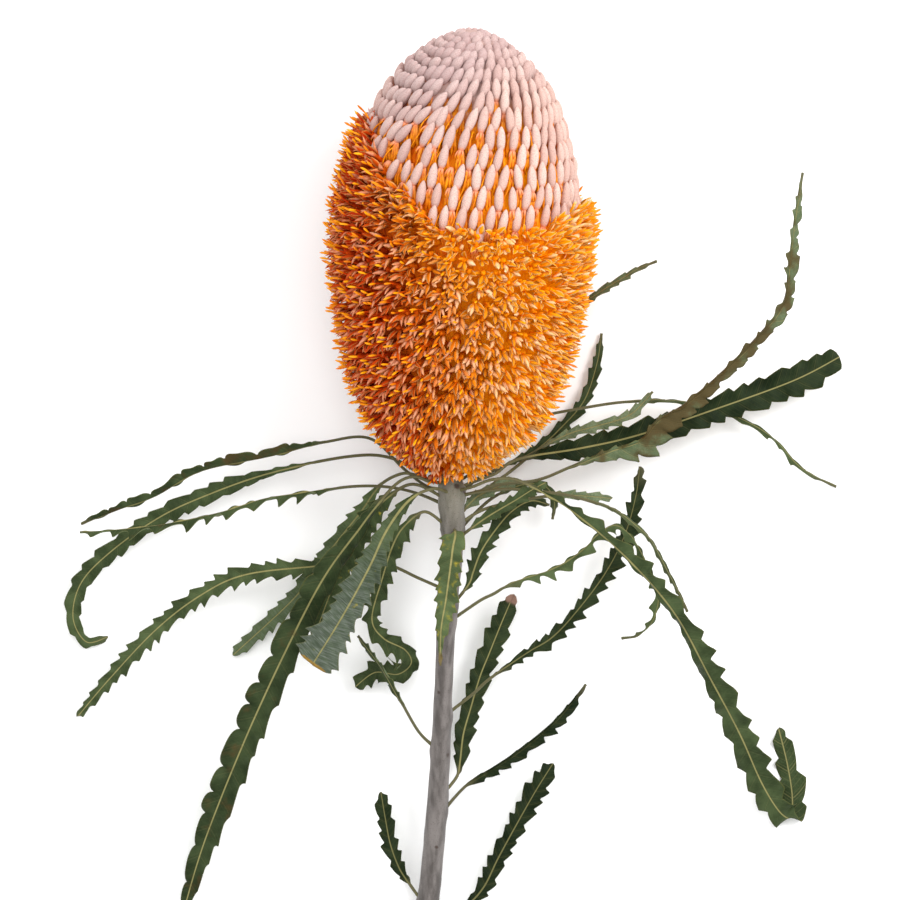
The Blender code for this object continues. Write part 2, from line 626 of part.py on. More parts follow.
def main():
    clear_scene()
    scene_collection = bpy.context.scene.collection
    flower = bpy.data.collections.new("banksia_flower")
    scene_collection.children.link(flower)
    orange = make_material("open_floret_orange", (0.78, 0.25, 0.02), 0.7)
    blush = make_material("bud_blush", (0.78, 0.62, 0.58), 0.85)
    bark = make_material("downy_bark", (0.4, 0.36, 0.33), 0.85)
    build_open_florets(flower, orange)
    build_unopened_buds(flower, blush)
    build_stem(flower, bark)
    greens = {}
    for name, leaf in LEAVES.items():
        colour = leaf[-1]
        if colour not in greens:
            greens[colour] = make_material(f"leaf_green_{len(greens) + 1}", colour, 0.5)
        build_leaf(name, leaf, flower, greens[colour])


main()
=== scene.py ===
# %% [markdown]
# # A cut banksia flower
#
# This script gives a banksia flower its looks in Blender: a barrel-shaped head of orange florets
# under a dome of pale velvety buds, a downy stem, and thirty long toothed leaves. The solids that
# were packed for physics are loaded first and stay where they are. Every piece made here stands in
# the place of one of them, with the fine form and the finish that the solid leaves out.
#
# Lengths are written in millimetres and turned into metres when a mesh is made. The flower lies on
# a table: +X is to the right, +Y runs from the cut end of the stem to the top of the head, and +Z
# points up, towards the camera.

import math

import bpy
import numpy as np
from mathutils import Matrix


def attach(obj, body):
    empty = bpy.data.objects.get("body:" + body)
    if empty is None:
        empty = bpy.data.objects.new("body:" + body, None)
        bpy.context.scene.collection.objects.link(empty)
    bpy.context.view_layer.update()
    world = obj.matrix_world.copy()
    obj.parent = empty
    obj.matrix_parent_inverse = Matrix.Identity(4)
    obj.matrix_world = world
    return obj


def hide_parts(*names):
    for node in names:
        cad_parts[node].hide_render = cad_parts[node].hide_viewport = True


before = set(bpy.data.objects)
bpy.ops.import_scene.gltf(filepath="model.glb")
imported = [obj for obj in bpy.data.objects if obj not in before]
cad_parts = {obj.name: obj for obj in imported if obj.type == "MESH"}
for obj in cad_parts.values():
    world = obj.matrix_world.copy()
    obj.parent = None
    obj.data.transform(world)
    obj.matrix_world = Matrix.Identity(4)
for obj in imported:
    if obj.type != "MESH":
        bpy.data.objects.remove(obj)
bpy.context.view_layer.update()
MM = 0.001
chance = np.random.default_rng(7)


def held(values):
    """Values that are held between 0 and 1."""
    return np.clip(values, 0, 1)


print("solids loaded:", len(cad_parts))

# %% [markdown]
# ## Camera, table and light
#
# The photograph looks straight down on the flower through a long lens, and the frame is 270 mm
# wide at the height of the stem. A camera far above with a long lens gives the same flat view.
# The table is a large white plane. One big soft lamp on the right makes the right side of the head
# golden and leaves the left side deeper, and a white world fills the shadows, as in a studio.

# %% Point the camera straight down
CAMERA_DISTANCE = 2400
FRAME_WIDTH = 270
FRAME_CENTRE = (-2.7, -51, 40)
SENSOR = 36

camera_data = bpy.data.cameras.new("camera")
camera_data.sensor_width = SENSOR
camera_data.lens = SENSOR * CAMERA_DISTANCE / FRAME_WIDTH
camera_data.clip_end = 10
camera = bpy.data.objects.new("camera", camera_data)
camera.location = (FRAME_CENTRE[0] * MM, FRAME_CENTRE[1] * MM,
                   (FRAME_CENTRE[2] + CAMERA_DISTANCE) * MM)
bpy.context.scene.collection.objects.link(camera)
bpy.context.scene.camera = camera
bpy.context.scene.view_settings.view_transform = "Standard"
print("lens:", round(camera_data.lens), "mm")

# %% Place the lamps and the white world
LAMP_AIM = (0, -0.04, 0.03)
WHITE = (1, 1, 1, 1)
WORLD_STRENGTH = 0.94


def add_lamp(name, place, size, power):
    """A round soft lamp, in metres and watts, that shines on the flower."""
    lamp = bpy.data.lights.new(name, "AREA")
    lamp.shape = "DISK"
    lamp.size = size
    lamp.energy = power
    lamp_object = bpy.data.objects.new(name, lamp)
    lamp_object.location = place
    turn = np.array(LAMP_AIM) - np.array(place)
    lamp_object.rotation_euler = (
        math.atan2(math.hypot(turn[0], turn[1]), -turn[2]), 0,
        math.atan2(turn[0], -turn[1]) + math.pi)
    bpy.context.scene.collection.objects.link(lamp_object)


add_lamp("key_lamp", (0.75, 0.45, 1), 0.6, 11.5)
add_lamp("top_lamp", (-0.3, 0.2, 1.6), 1.2, 11)
world = bpy.data.worlds.new("studio_white")
world.use_nodes = True
world.node_tree.nodes["Background"].inputs["Color"].default_value = WHITE
world.node_tree.nodes["Background"].inputs["Strength"].default_value = WORLD_STRENGTH
bpy.context.scene.world = world

# %% [markdown]
# ## Tools for finishes
#
# A finish in Blender is a graph of nodes. Wired by hand in code, a sum of two masks takes four
# lines, so a small class wraps a socket and lets Python's own arithmetic add the Math nodes. Any
# other node comes from one method that takes the node's type, its settings and its inputs.
#
# Colours are written as they look on a screen, 0 to 255. The method that mixes two of them turns
# them into the linear light that the shader works in.


# %% A socket that can be used in sums
class Reading:
    """An output socket of a finish that takes part in Python's arithmetic."""

    def __init__(self, finish, socket):
        self.finish = finish
        self.socket = socket

    def maths(self, operation, first, second=0):
        return self.finish.node("ShaderNodeMath", {"operation": operation},
                                {0: first, 1: second})

    def __add__(self, other):
        return self.maths("ADD", self, other)

    def __radd__(self, other):
        return self.maths("ADD", other, self)

    def __sub__(self, other):
        return self.maths("SUBTRACT", self, other)

    def __rsub__(self, other):
        return self.maths("SUBTRACT", other, self)

    def __mul__(self, other):
        return self.maths("MULTIPLY", self, other)

    def __rmul__(self, other):
        return self.maths("MULTIPLY", other, self)

    def __mod__(self, other):
        return self.maths("FLOORED_MODULO", self, other)

    def __abs__(self):
        return self.maths("ABSOLUTE", self)

    def larger(self, other):
        return self.maths("MAXIMUM", self, other)


# %% A finish that makes its own nodes
def as_light(colour):
    """Three numbers seen on a screen, 0 to 255, as linear light. Other colours stay the same."""
    if isinstance(colour, Reading) or len(colour) > 3:
        return colour
    parts = [value / 255 for value in colour]
    return *[part / 12.92 if part <= 0.04045 else ((part + 0.055) / 1.055) ** 2.4
             for part in parts], 1


class Finish:
    """A material built from nodes, with a Principled shader at its end."""

    def __init__(self, name):
        self.material = bpy.data.materials.new(name)
        self.material.use_nodes = True
        self.tree = self.material.node_tree
        self.shader = self.tree.nodes["Principled BSDF"]

    def node(self, kind, settings=(), inputs=(), output=0):
        made = self.tree.nodes.new(kind)
        for name, value in dict(settings).items():
            setattr(made, name, value)
        for key, value in dict(inputs).items():
            self.feed(made.inputs[key], value)
        return Reading(self, made.outputs[output])

    def feed(self, socket, value):
        if isinstance(value, Reading):
            self.tree.links.new(value.socket, socket)
        else:
            socket.default_value = value

    def mark(self, name):
        """A value kept on the mesh for each point, such as how far along a petal it is."""
        return self.node("ShaderNodeAttribute", {"attribute_name": name}, output="Fac")

    def ease(self, value, start, end):
        """0 before start and 1 after end, with a smooth change between them."""
        return self.node("ShaderNodeMapRange", {"interpolation_type": "SMOOTHSTEP"},
                         {"Value": value, "From Min": start, "From Max": end})

    def blend(self, share, first, second):
        """A colour between two colours, which are readings or numbers."""
        return self.node("ShaderNodeMix", {"data_type": "RGBA"},
                         {0: share, 6: as_light(first), 7: as_light(second)}, output=2)

    def noise(self, grain, detail=2, stretch=(1, 1, 1)):
        """Cloudy noise whose blotches are about grain millimetres across."""
        place = self.node("ShaderNodeTexCoord", output="Object")
        place = self.node("ShaderNodeMapping", inputs={"Vector": place, "Scale": stretch})
        return self.node("ShaderNodeTexNoise", inputs={
            "Vector": place, "Scale": 1 / (grain * MM), "Detail": detail})

    def bump(self, height, depth):
        """A bump that is depth millimetres deep, to feed the shader's Normal."""
        return self.node("ShaderNodeBump", output="Normal", inputs={
            "Height": height, "Strength": 1, "Distance": depth * MM})

    def surface(self, inputs):
        for name, value in inputs.items():
            self.feed(self.shader.inputs[name], value)


# %% Finish of the table
FLOOR_HALF = 3
FLOOR_WHITE = (0.96, 0.96, 0.96, 1)

table_finish = Finish("white_table")
table_finish.surface({"Base Color": FLOOR_WHITE, "Roughness": 0.75})
floor_mesh = bpy.data.meshes.new("table")
floor_mesh.from_pydata([(-FLOOR_HALF, -FLOOR_HALF, 0), (FLOOR_HALF, -FLOOR_HALF, 0),
                        (FLOOR_HALF, FLOOR_HALF, 0), (-FLOOR_HALF, FLOOR_HALF, 0)],
                       [], [(0, 1, 2, 3)])
floor_mesh.materials.append(table_finish.material)
floor = bpy.data.objects.new("table", floor_mesh)
bpy.context.scene.collection.objects.link(floor)

# %% [markdown]
# ## Tools for shapes
#
# Petals, styles, buds, stalks and leaves are all the same kind of form: a ring that travels along
# a path and changes its size on the way. One function makes many of them at once with numpy,
# which is hundreds of times quicker than a loop over points. Each point also keeps marks, such as
# how far along its petal it is, and the finishes read them.


# %% Rings that travel along many paths at once
def unit(vectors):
    return vectors / np.maximum(np.linalg.norm(vectors, axis=-1, keepdims=True), 1e-9)


def turned(first, second, angle):
    """The first direction, turned towards the second by each angle."""
    return first * np.cos(angle)[..., None] + second * np.sin(angle)[..., None]


def loft(paths, front, widths, depths, profile):
    """Points of rings along paths, as an array of path, ring, point and x-y-z.

    front is the direction of the profile's second axis, and widths and depths scale the profile
    at each ring."""
    heading = unit(np.gradient(paths, axis=1))
    side = unit(np.cross(front, heading))
    front = np.cross(heading, side)
    reach_side = widths[:, :, None] * profile[:, 0]
    reach_front = depths[:, :, None] * profile[:, 1]
    return (paths[:, :, None, :] + side[:, :, None, :] * reach_side[..., None]
            + front[:, :, None, :] * reach_front[..., None])


def round_profile(count):
    turns = np.arange(count) / count * math.tau
    return np.stack((np.cos(turns), np.sin(turns)), axis=-1)


def tubes(paths, front, radius, around=5, flatness=1):
    """Rings of round tubes with these radii along their paths, before they touch the table."""
    radius = np.broadcast_to(radius, paths.shape[:2])
    return loft(paths, front, radius, radius * flatness, round_profile(around))


def by_path(values):
    """A mark with one value for each path."""
    return values[:, None, None]


def by_ring(values):
    """A mark with one value for each ring, the same on all paths."""
    return values[None, :, None]


class Piece:
    """Collects lofted forms and turns them into one mesh."""

    def __init__(self, marks):
        self.points = []
        self.faces = []
        self.marks = {name: [] for name in marks}
        self.count = 0

    def add(self, rings, **marks):
        paths, along, around = rings.shape[:3]
        index = np.arange(paths * along * around).reshape(paths, along, around) + self.count
        after = np.roll(index, -1, axis=2)
        walls = np.stack((index[:, :-1], after[:, :-1], after[:, 1:], index[:, 1:]), axis=-1)
        self.faces += walls.reshape(-1, 4).tolist()
        self.faces += index[:, 0, ::-1].tolist()
        self.faces += index[:, -1].tolist()
        self.points.append(rings.reshape(-1, 3))
        self.count += index.size
        for name, values in self.marks.items():
            values.append(np.broadcast_to(marks[name], index.shape).reshape(-1))

    def build(self, name, finish, stands_for):
        mesh = bpy.data.meshes.new(name)
        points = np.concatenate(self.points)
        mesh.from_pydata((points * MM).tolist(), [], self.faces)
        for mark, values in self.marks.items():
            kept = mesh.attributes.new(mark, "FLOAT", "POINT")
            kept.data.foreach_set("value", np.concatenate(values).astype(np.float32))
        mesh.shade_smooth()
        mesh.materials.append(finish)
        piece = bpy.data.objects.new(name, mesh)
        bpy.context.scene.collection.objects.link(piece)
        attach(piece, "root")
        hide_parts(stands_for)
        triangles = sum(len(face) - 2 for face in self.faces)
        print(name, "triangles:", triangles)
        return piece


LEAST_HEIGHT = 0.02


def press_on_table(points, softness=1.6):
    """Points near or under the table are pushed up so that none is lower than the table."""
    low = points[..., 2]
    pressed = softness * np.exp((low - softness) / softness)
    points[..., 2] = np.where(low < softness, np.maximum(pressed, LEAST_HEIGHT), low)
    return points

# %% [markdown]
# ## The head's own axes
#
# The head is a body turned round one axis, which leans a little because the flower lies on its
# head and on the cut end of its stem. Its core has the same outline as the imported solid, so the
# florets that stand on it reach just as far. A place on it is given by its distance up the
# outline and by its angle: 0 is right, 90 degrees is under the head, 180 is left and 270 is
# towards the camera.

# %% Outline of the core
HEAD_BASE = np.array((-2.6, -57.6, 28.75))
HEAD_TOP = np.array((3.9, 75, 52.3))
CORE_OUTLINE = np.array([
    (0, 4.2), (1.5, 7), (4.5, 10.2), (9, 14.2), (14, 18.2), (22, 22.8), (30, 26),
    (37, 28.2), (52, 31.4), (67, 33.2), (77, 33.1), (90, 31.3), (104, 27),
    (116, 21.6), (125.4, 14.8), (131.5, 7.6), (134, 2.2),
])
OPEN_HEIGHT = 77
OPEN_RISE_LEFT = 26
OPEN_RISE_RIGHT = 3

HEAD_AXIS = unit(HEAD_TOP - HEAD_BASE)
HEAD_SIDE = unit(np.cross(HEAD_AXIS, (0, 0, 1)))
HEAD_UNDER = unit(np.cross(HEAD_AXIS, HEAD_SIDE))


def smooth_curve(points, steps=24):
    """Points on a Catmull-Rom curve through the given points, and the distance to each."""
    points = np.asarray(points, float)
    before = np.vstack((points[:1], points[:-2]))
    start, end = points[:-1], points[1:]
    after = np.vstack((points[2:], points[-1:]))
    part = (np.arange(steps) / steps)[None, :, None]
    pull_in, pull_out = (end - before) * 0.5, (after - start) * 0.5
    squared, cubed = part ** 2, part ** 3
    curve = (start[:, None] * (2 * cubed - 3 * squared + 1)
             + pull_in[:, None] * (cubed - 2 * squared + part)
             + end[:, None] * (3 * squared - 2 * cubed) + pull_out[:, None] * (cubed - squared))
    curve = np.vstack((curve.reshape(-1, points.shape[1]), points[-1:]))
    gaps = np.linalg.norm(np.diff(curve, axis=0), axis=1)
    return curve, np.concatenate(([0], np.cumsum(gaps)))


CORE_CURVE, CORE_DISTANCE = smooth_curve(CORE_OUTLINE)
CORE_LENGTH = CORE_DISTANCE[-1]


def outline_at(distance):
    """Height and radius of the core at a distance up its outline."""
    return (np.interp(distance, CORE_DISTANCE, CORE_CURVE[:, 0]),
            np.interp(distance, CORE_DISTANCE, CORE_CURVE[:, 1]))


def open_height(angle):
    """How high the open florets reach up the head at this angle round it."""
    left = np.maximum(0, -np.cos(angle))
    right = np.maximum(0, np.cos(angle))
    return OPEN_HEIGHT + OPEN_RISE_LEFT * left ** 1.3 + OPEN_RISE_RIGHT * right ** 2


def outward(angle):
    return turned(HEAD_SIDE, HEAD_UNDER, angle)


def on_core(distance, angle, lift=0):
    """A point on the core, or lift millimetres above its surface."""
    height, radius = outline_at(distance)
    return (HEAD_BASE + HEAD_AXIS * height[..., None]
            + outward(angle) * (radius + lift)[..., None])


def up_the_core(distance, angle):
    """Direction along the core's surface towards its top."""
    return unit(on_core(distance + 0.5, angle) - on_core(distance - 0.5, angle))


print("outline of the core:", round(CORE_LENGTH, 1), "mm")

# %% Places of the open florets
# They stand in staggered rows, each with as many places as fit round the core.
FIRST_FLORETS = 5
FLORET_PITCH = 3.2
FLORET_SHUFFLE = 0.2

floret_distance, floret_angle = [], []
for row, distance in enumerate(np.arange(FIRST_FLORETS, CORE_LENGTH, FLORET_PITCH)):
    radius = float(outline_at(distance)[1])
    places = max(3, round(math.tau * radius / FLORET_PITCH))
    turns = (np.arange(places) + 0.5 * (row % 2)) / places * math.tau
    turns += chance.normal(0, FLORET_SHUFFLE, places) * FLORET_PITCH / max(radius, 1)
    floret_angle.append(turns % math.tau)
    floret_distance.append(distance + chance.normal(0, FLORET_SHUFFLE, places) * FLORET_PITCH)
floret_distance, floret_angle = np.concatenate(floret_distance), np.concatenate(floret_angle)
floret_height = outline_at(floret_distance)[0]
floret_limit = open_height(floret_angle)
is_open = floret_height < floret_limit
floret_distance, floret_angle = floret_distance[is_open], floret_angle[is_open]
floret_height, floret_limit = floret_height[is_open], floret_limit[is_open]
count = len(floret_angle)
print("open florets:", count)

# %% [markdown]
# ## Open florets
#
# An open banksia floret is a narrow tube that has split into four limbs round a stiff style. Each
# limb is a claw with a boat-shaped blade at its end: the hollow side is orange, the back is pale
# and downy, and the rim between them is cream. The style is a wire that swells into a smooth
# yellow tip. Where the florets opened last, near the buds, the blades still stand up and show
# their orange hollows. Lower down they hang towards the stem with their pale backs outwards.
#
# A particle system could scatter copies of one floret, but copies can't bend each in their own
# way, and they don't export. Here every blade is computed: the angle between its path and the
# floret's own direction grows along it, and adding up the small steps gives the path.

# %% Directions of the florets
LEAN_HEIGHTS = (0, 9, 22, 52, 71, 84, 109)
LEAN_DEGREES = (-50, -18, -4, 15, 27, 36, 42)
FRONT_DROOP = 15
FRONT_SWING = 14
RIGHT_FOOT_RISE = 22
RIGHT_FOOT_TURN = 0.7
FOOT_HEIGHT = 16
FOOT_FADE = 10
SPREAD = 7
FLORET_SINK = 1
# How far up the open part the florets start to be newly open, and over what share.
NEW_FROM = 0.68
NEW_OVER = 0.28
NEWER_ON_RIGHT = 0.4
# Middle value of the florets' colour mark, and what the side and the new florets in front add.
# The side's share is painted light and shade: golden on the lit right, redder and darker on the
# left.
LIGHT_AND_GOLD_MIDDLE = 0.36
PAINTED_LIGHT_OF_SIDE = 0.56
GOLD_OF_NEW = 0.42
BASE_LENGTH = 0.55
BASE_HEIGHTS = (2, 16)

front = held(-np.sin(floret_angle)) ** 2
right = held(np.cos(floret_angle))
foot_rise = RIGHT_FOOT_RISE * held(np.cos(floret_angle + RIGHT_FOOT_TURN))
foot_rise *= held((FOOT_HEIGHT - floret_height) / FOOT_FADE)
lean = np.radians(np.interp(floret_height, LEAN_HEIGHTS, LEAN_DEGREES) - FRONT_DROOP * front
                  + foot_rise + chance.normal(0, SPREAD, count))
swing = np.radians(chance.normal(0, SPREAD, count) - FRONT_SWING * front)
floret_out = outward(floret_angle)
floret_round = np.cross(HEAD_AXIS, floret_out)
floret_aim = unit(turned(floret_out, HEAD_AXIS, lean) + floret_round * np.sin(swing)[:, None])
floret_foot = on_core(floret_distance, floret_angle, -FLORET_SINK)
floret_share = floret_height / floret_limit
newly_open = held((floret_share - NEW_FROM) / NEW_OVER + NEWER_ON_RIGHT * right * floret_share)
# Painted light and shade: the mark rises towards the lit right of the head and falls on the left.
floret_warmth = held(LIGHT_AND_GOLD_MIDDLE + PAINTED_LIGHT_OF_SIDE * np.cos(floret_angle)
                     + GOLD_OF_NEW * newly_open * front)
short_at_base = np.interp(floret_height, BASE_HEIGHTS, (BASE_LENGTH, 1))
print("warmth of the florets:", floret_warmth.min().round(2), "to", floret_warmth.max().round(2))

# %% Blades of the limbs
LIMBS = 4
LIMB_LENGTH = 8.6
LIMB_RINGS = np.array((0, 0.28, 0.48, 0.62, 0.76, 0.9, 1))
LIMB_HALF_WIDTH = np.array((0.4, 0.42, 0.44, 0.72, 0.8, 0.46, 0.06))
LIMB_THICKNESS = 0.3
CUP_DEPTH = 0.45
LIMB_FOOT = 0.35
LIMB_PROFILE = np.array(((-1, CUP_DEPTH), (0, -LIMB_THICKNESS), (1, CUP_DEPTH),
                         (0, 0)))
LIMB_FACES = np.array((0.5, 0, 0.5, 1))
AZIMUTH_SHUFFLE = 0.35
OLD_HANG = (0.9, 2)
NEW_HANG = 0.8
# Degrees by which a limb opens, and by which it leans out at its foot.
NEW_OPENING = (8, 36)
NEW_OPENING_IN_FRONT = 20
OLD_OPENING = (28, 88)
FOOT_OPENING = 7
STRAIGHT_SHARE = 0.3

shape = (count, LIMBS)
aim = np.repeat(floret_aim[:, None], LIMBS, axis=1)
new = np.repeat(newly_open[:, None], LIMBS, axis=1)
round_head = unit(np.cross(HEAD_AXIS, aim))
up_head = np.cross(aim, round_head)
azimuth = (np.arange(LIMBS) / LIMBS * math.tau + math.pi / 4)[None, :]
azimuth = azimuth + chance.normal(0, AZIMUTH_SHUFFLE, shape)
hang = (1 - new) * chance.uniform(*OLD_HANG, shape) + NEW_HANG * new * front[:, None]
bend_to = unit(round_head * np.cos(azimuth)[..., None]
               + up_head * (np.sin(azimuth) - hang)[..., None])
opening = np.radians(np.where(
    new > chance.random(shape),
    chance.uniform(*NEW_OPENING, shape) + NEW_OPENING_IN_FRONT * front[:, None],
    chance.uniform(*OLD_OPENING, shape)))
opening = opening * (1 - 0.4 * right[:, None])
shows_back = chance.random(shape) < 0.84 - 0.42 * new
length = LIMB_LENGTH * chance.uniform(0.8, 1.12, shape) * short_at_base[:, None]

bend = held((LIMB_RINGS - STRAIGHT_SHARE) / (1 - STRAIGHT_SHARE))
bend = bend * bend * (3 - 2 * bend)
angle = np.radians(FOOT_OPENING) + opening[..., None] * bend
heading = turned(aim[:, :, None], bend_to[:, :, None], angle)
step = np.diff(LIMB_RINGS)[None, None, :, None] * length[..., None, None]
path = np.cumsum(0.5 * (heading[:, :, 1:] + heading[:, :, :-1]) * step, axis=2)
path = np.concatenate((np.zeros_like(path[:, :, :1]), path), axis=2)
path += (floret_foot[:, None] + bend_to * LIMB_FOOT)[:, :, None]
hollow = turned(-bend_to[:, :, None], aim[:, :, None], angle)
hollow = np.where(shows_back[..., None, None], -hollow, hollow)

width = LIMB_HALF_WIDTH * chance.uniform(0.85, 1.15, shape)[..., None]
width *= 1 + 0.12 * new[..., None]

path = path.reshape(-1, len(LIMB_RINGS), 3)
hollow = hollow.reshape(path.shape)
width = width.reshape(path.shape[:2])
rings = press_on_table(loft(path, hollow, width, width, LIMB_PROFILE))
limb_warmth = np.repeat(floret_warmth, LIMBS)
limb_pick = chance.random(len(path))
on_left = np.repeat(np.cos(floret_angle) < 0, LIMBS)
print("limbs:", len(path))

# %% [markdown]
# ### Finish of the limbs
#
# The back of a blade is pale peach with a velvety down, the hollow is a clear orange, and the rim
# is cream. The mesh knows which is which: the mark `face` runs from 0 on the back through a half
# on the rim to 1 in the hollow. The claw below the blade is orange all round. Florets on the
# right of the head are painted more golden, as painted light where the lamp falls, and those on
# the left redder and darker, as painted shade; the newly open florets in front are more golden
# too. One mark on the mesh carries this.

# %% Colours of the limbs
# Each colour on the left of the head and on its right: the left one darker and redder as painted
# shade, the right one more golden as painted light.
PEACH = (200, 100, 46), (246, 190, 104)
BLUSH = (220, 152, 118), (250, 210, 170)
CREAM = (218, 132, 66), (252, 206, 126)
BACK = (188, 60, 0), (240, 160, 16)
INSIDE = (182, 44, 0), (236, 152, 0)
CLAW = (192, 66, 0), (252, 166, 0)
# On the lit side light passes through the thin claws and tubes, so their gaps glow a little.
GLOW = 0.13
GLOW_COLOURS = (0, 0, 0), (246, 176, 0)

limb = Finish("floret_limb")
face, along, warmth = limb.mark("face"), limb.mark("along"), limb.mark("warmth")
pick = limb.mark("pick")
orange_back = limb.blend(warmth, *BACK)
pale_back = limb.blend(pick, limb.blend(warmth, *PEACH), limb.blend(warmth, *BLUSH))
pale_share = limb.ease(pick, 0.4, 0.55) * (1 - 0.5 * limb.ease(limb.noise(1), 0.4, 0.7))
claw = limb.blend(warmth, *CLAW)
outer = limb.blend(limb.ease(along, 0.5, 0.75), claw,
                   limb.blend(pale_share, orange_back, pale_back))
rim = limb.blend(limb.ease(along, 0.46, 0.6), claw, limb.blend(warmth, *CREAM))
inside = limb.blend(warmth, *INSIDE)
colour = limb.blend(limb.ease(face, 0.24, 0.44), outer, rim)
colour = limb.blend(limb.ease(face, 0.58, 0.8), colour, inside)
down = limb.noise(0.25, 3)
limb.surface({"Base Color": colour, "Roughness": 0.8 - 0.2 * face,
              "Normal": limb.bump(down, 0.06), "Specular IOR Level": 0.1,
              "Emission Strength": GLOW, "Emission Color": limb.blend(
                  limb.ease(warmth, 0.35, 0.9) * limb.ease(along, 0.9, 0.45), *GLOW_COLOURS)})

for side, chosen in (("left", on_left), ("right", ~on_left)):
    piece = Piece(("face", "along", "warmth", "pick"))
    piece.add(rings[chosen], face=LIMB_FACES[None, None], along=by_ring(LIMB_RINGS),
              warmth=by_path(limb_warmth[chosen]), pick=by_path(limb_pick[chosen]))
    piece.build(f"floret_limbs_{side}", limb.material, "open_florets")

# %% [markdown]
# ## Styles
#
# The styles are the spikes of the head's outline. Each is a stiff wire that stands out past the
# blades, and its tip, which carries the pollen, is swollen, smooth and bright yellow. They are
# tubes along slightly bent paths.

# %% Styles of the florets
STYLE_LENGTH = 10.2
STYLE_RINGS = np.array((0, 0.4, 0.7, 0.79, 0.88, 0.95, 1))
STYLE_RADIUS = np.array((0.32, 0.27, 0.25, 0.31, 0.38, 0.29, 0.06))
STYLE_BEND = 3

style_bend = unit(np.cross(floret_aim, chance.normal(0, 1, floret_aim.shape)))
style_length = STYLE_LENGTH * chance.uniform(0.86, 1.08, count) * short_at_base
arc = by_ring(STYLE_RINGS * (1 - STYLE_RINGS))
style_path = (floret_foot[:, None]
              + floret_aim[:, None] * (by_ring(STYLE_RINGS) * by_path(style_length))
              + style_bend[:, None] * arc * STYLE_BEND)
style_rings = press_on_table(tubes(style_path, style_bend[:, None], STYLE_RADIUS))

# %% Finish of the styles
style = Finish("style")
along, warmth = style.mark("along"), style.mark("warmth")
# Painted light and shade: the wire is redder and darker on the left of the head, golden on the
# right.
wire = style.blend(warmth, (204, 62, 0), (240, 132, 0))
tip = style.blend(style.mark("pick"), (232, 124, 0), (248, 170, 4))
colour = style.blend(style.ease(along, 0.7, 0.8), wire, tip)
colour = style.blend(style.ease(along, 0.94, 1) * 0.5, colour, (226, 104, 2))
style.surface({"Base Color": colour, "Roughness": 0.45 + 0.1 * style.noise(0.6),
               "Normal": style.bump(style.noise(0.4), 0.04), "Specular IOR Level": 0.22})

styles = Piece(("along", "warmth", "pick"))
styles.add(style_rings, along=by_ring(STYLE_RINGS), warmth=by_path(floret_warmth),
           pick=by_path(chance.random(count)))
styles.build("floret_styles", style.material, "open_florets")

# %% [markdown]
# ## Tubes and core of the head
#
# Below the blades each floret is a smooth golden tube, and the tubes stand so close that they
# hide nearly all of the woody cob. The cob is a surface turned round the head's axis, with short
# orange wool made by stretched noise in its colour and bump. Near the top, among the buds, the
# cob takes the greyish pink of buds in shade, as painted shade in the gaps between them.

# %% Tubes of the florets
TUBE_RINGS = np.array((0, 0.45, 0.8, 1))
TUBE_RADIUS = np.array((0.7, 1.05, 0.95, 0.4))
TUBE_REACH = 5

tube_length = TUBE_REACH * short_at_base * chance.uniform(0.85, 1.1, count)
tube_path = (floret_foot[:, None] + floret_aim[:, None]
             * (TUBE_RINGS * tube_length[:, None])[..., None])
tube_rings = press_on_table(tubes(tube_path, floret_round[:, None], TUBE_RADIUS))

# %% Turn the core
CORE_SINK = 0.6
CORE_LEAST = 0.6
# Height where the core starts to take the colour of buds in shade, as painted shade, and over how
# many millimetres.
BUD_SHADE_FROM = 108
BUD_SHADE_OVER = 8
CORE_AROUND = 64
CORE_RINGS = 60

core_distance = np.linspace(0, CORE_LENGTH, CORE_RINGS)
core_height, core_radius = outline_at(core_distance)
core_path = (HEAD_BASE + HEAD_AXIS * core_height[:, None])[None]
core_rings = tubes(core_path, HEAD_UNDER[None, None],
                   np.maximum(core_radius - CORE_SINK, CORE_LEAST), CORE_AROUND)

# %% Finish of the tubes and the core
wool = Finish("core_wool")
warmth, pale = wool.mark("warmth"), wool.mark("pale")
strands = wool.noise(0.7, 4, (1, 0.3, 1))
# Painted light and shade: wool and tubes are redder and darker on the left of the head, golden on
# the lit right.
deep = wool.blend(warmth, (176, 44, 0), (238, 128, 0))
gold = wool.blend(warmth, (206, 74, 0), (248, 166, 2))
colour = wool.blend(wool.ease(strands, 0.35, 0.65), deep, gold)
# Painted shade: near the top the core takes the greyish pink of buds in shade, for the gaps there.
colour = wool.blend(pale, colour, (184, 152, 144))
wool.surface({"Base Color": colour, "Roughness": 0.75, "Normal": wool.bump(strands, 0.3),
              "Specular IOR Level": 0.1, "Emission Strength": GLOW,
              "Emission Color": wool.blend(wool.ease(warmth, 0.35, 0.9) * (1 - pale),
                                           *GLOW_COLOURS)})

core = Piece(("warmth", "pale"))
# The core's colour mark follows only the side: painted light on the right, painted shade on the
# left.
core_turn = np.cos(np.arange(CORE_AROUND) / CORE_AROUND * math.tau)
core.add(core_rings, warmth=0.5 + 0.5 * core_turn[None, None],
         pale=by_ring(held((core_height - BUD_SHADE_FROM) / BUD_SHADE_OVER)))
core.add(tube_rings, warmth=by_path(floret_warmth), pale=0)
core.build("head_core", wool.material, "open_florets")

# %% [markdown]
# ## Unopened buds
#
# Above the open florets every bud is still shut: a velvety spindle, pinkish white, on the claws
# of its tube, which show salmon at the bud's foot and golden lower down. The buds stand in rows
# like bricks, lie almost flat on the dome, and stand up closer together towards its top. On the
# upper left they lean sideways and are painted greyer, as painted shade away from the lamp, and a
# few of them are left out, so that the gaps there show the golden claws. Near the top they are
# greyer too. A bud is a lofted tube too, so the whole dome is one mesh whose colour follows the
# mark `along`.

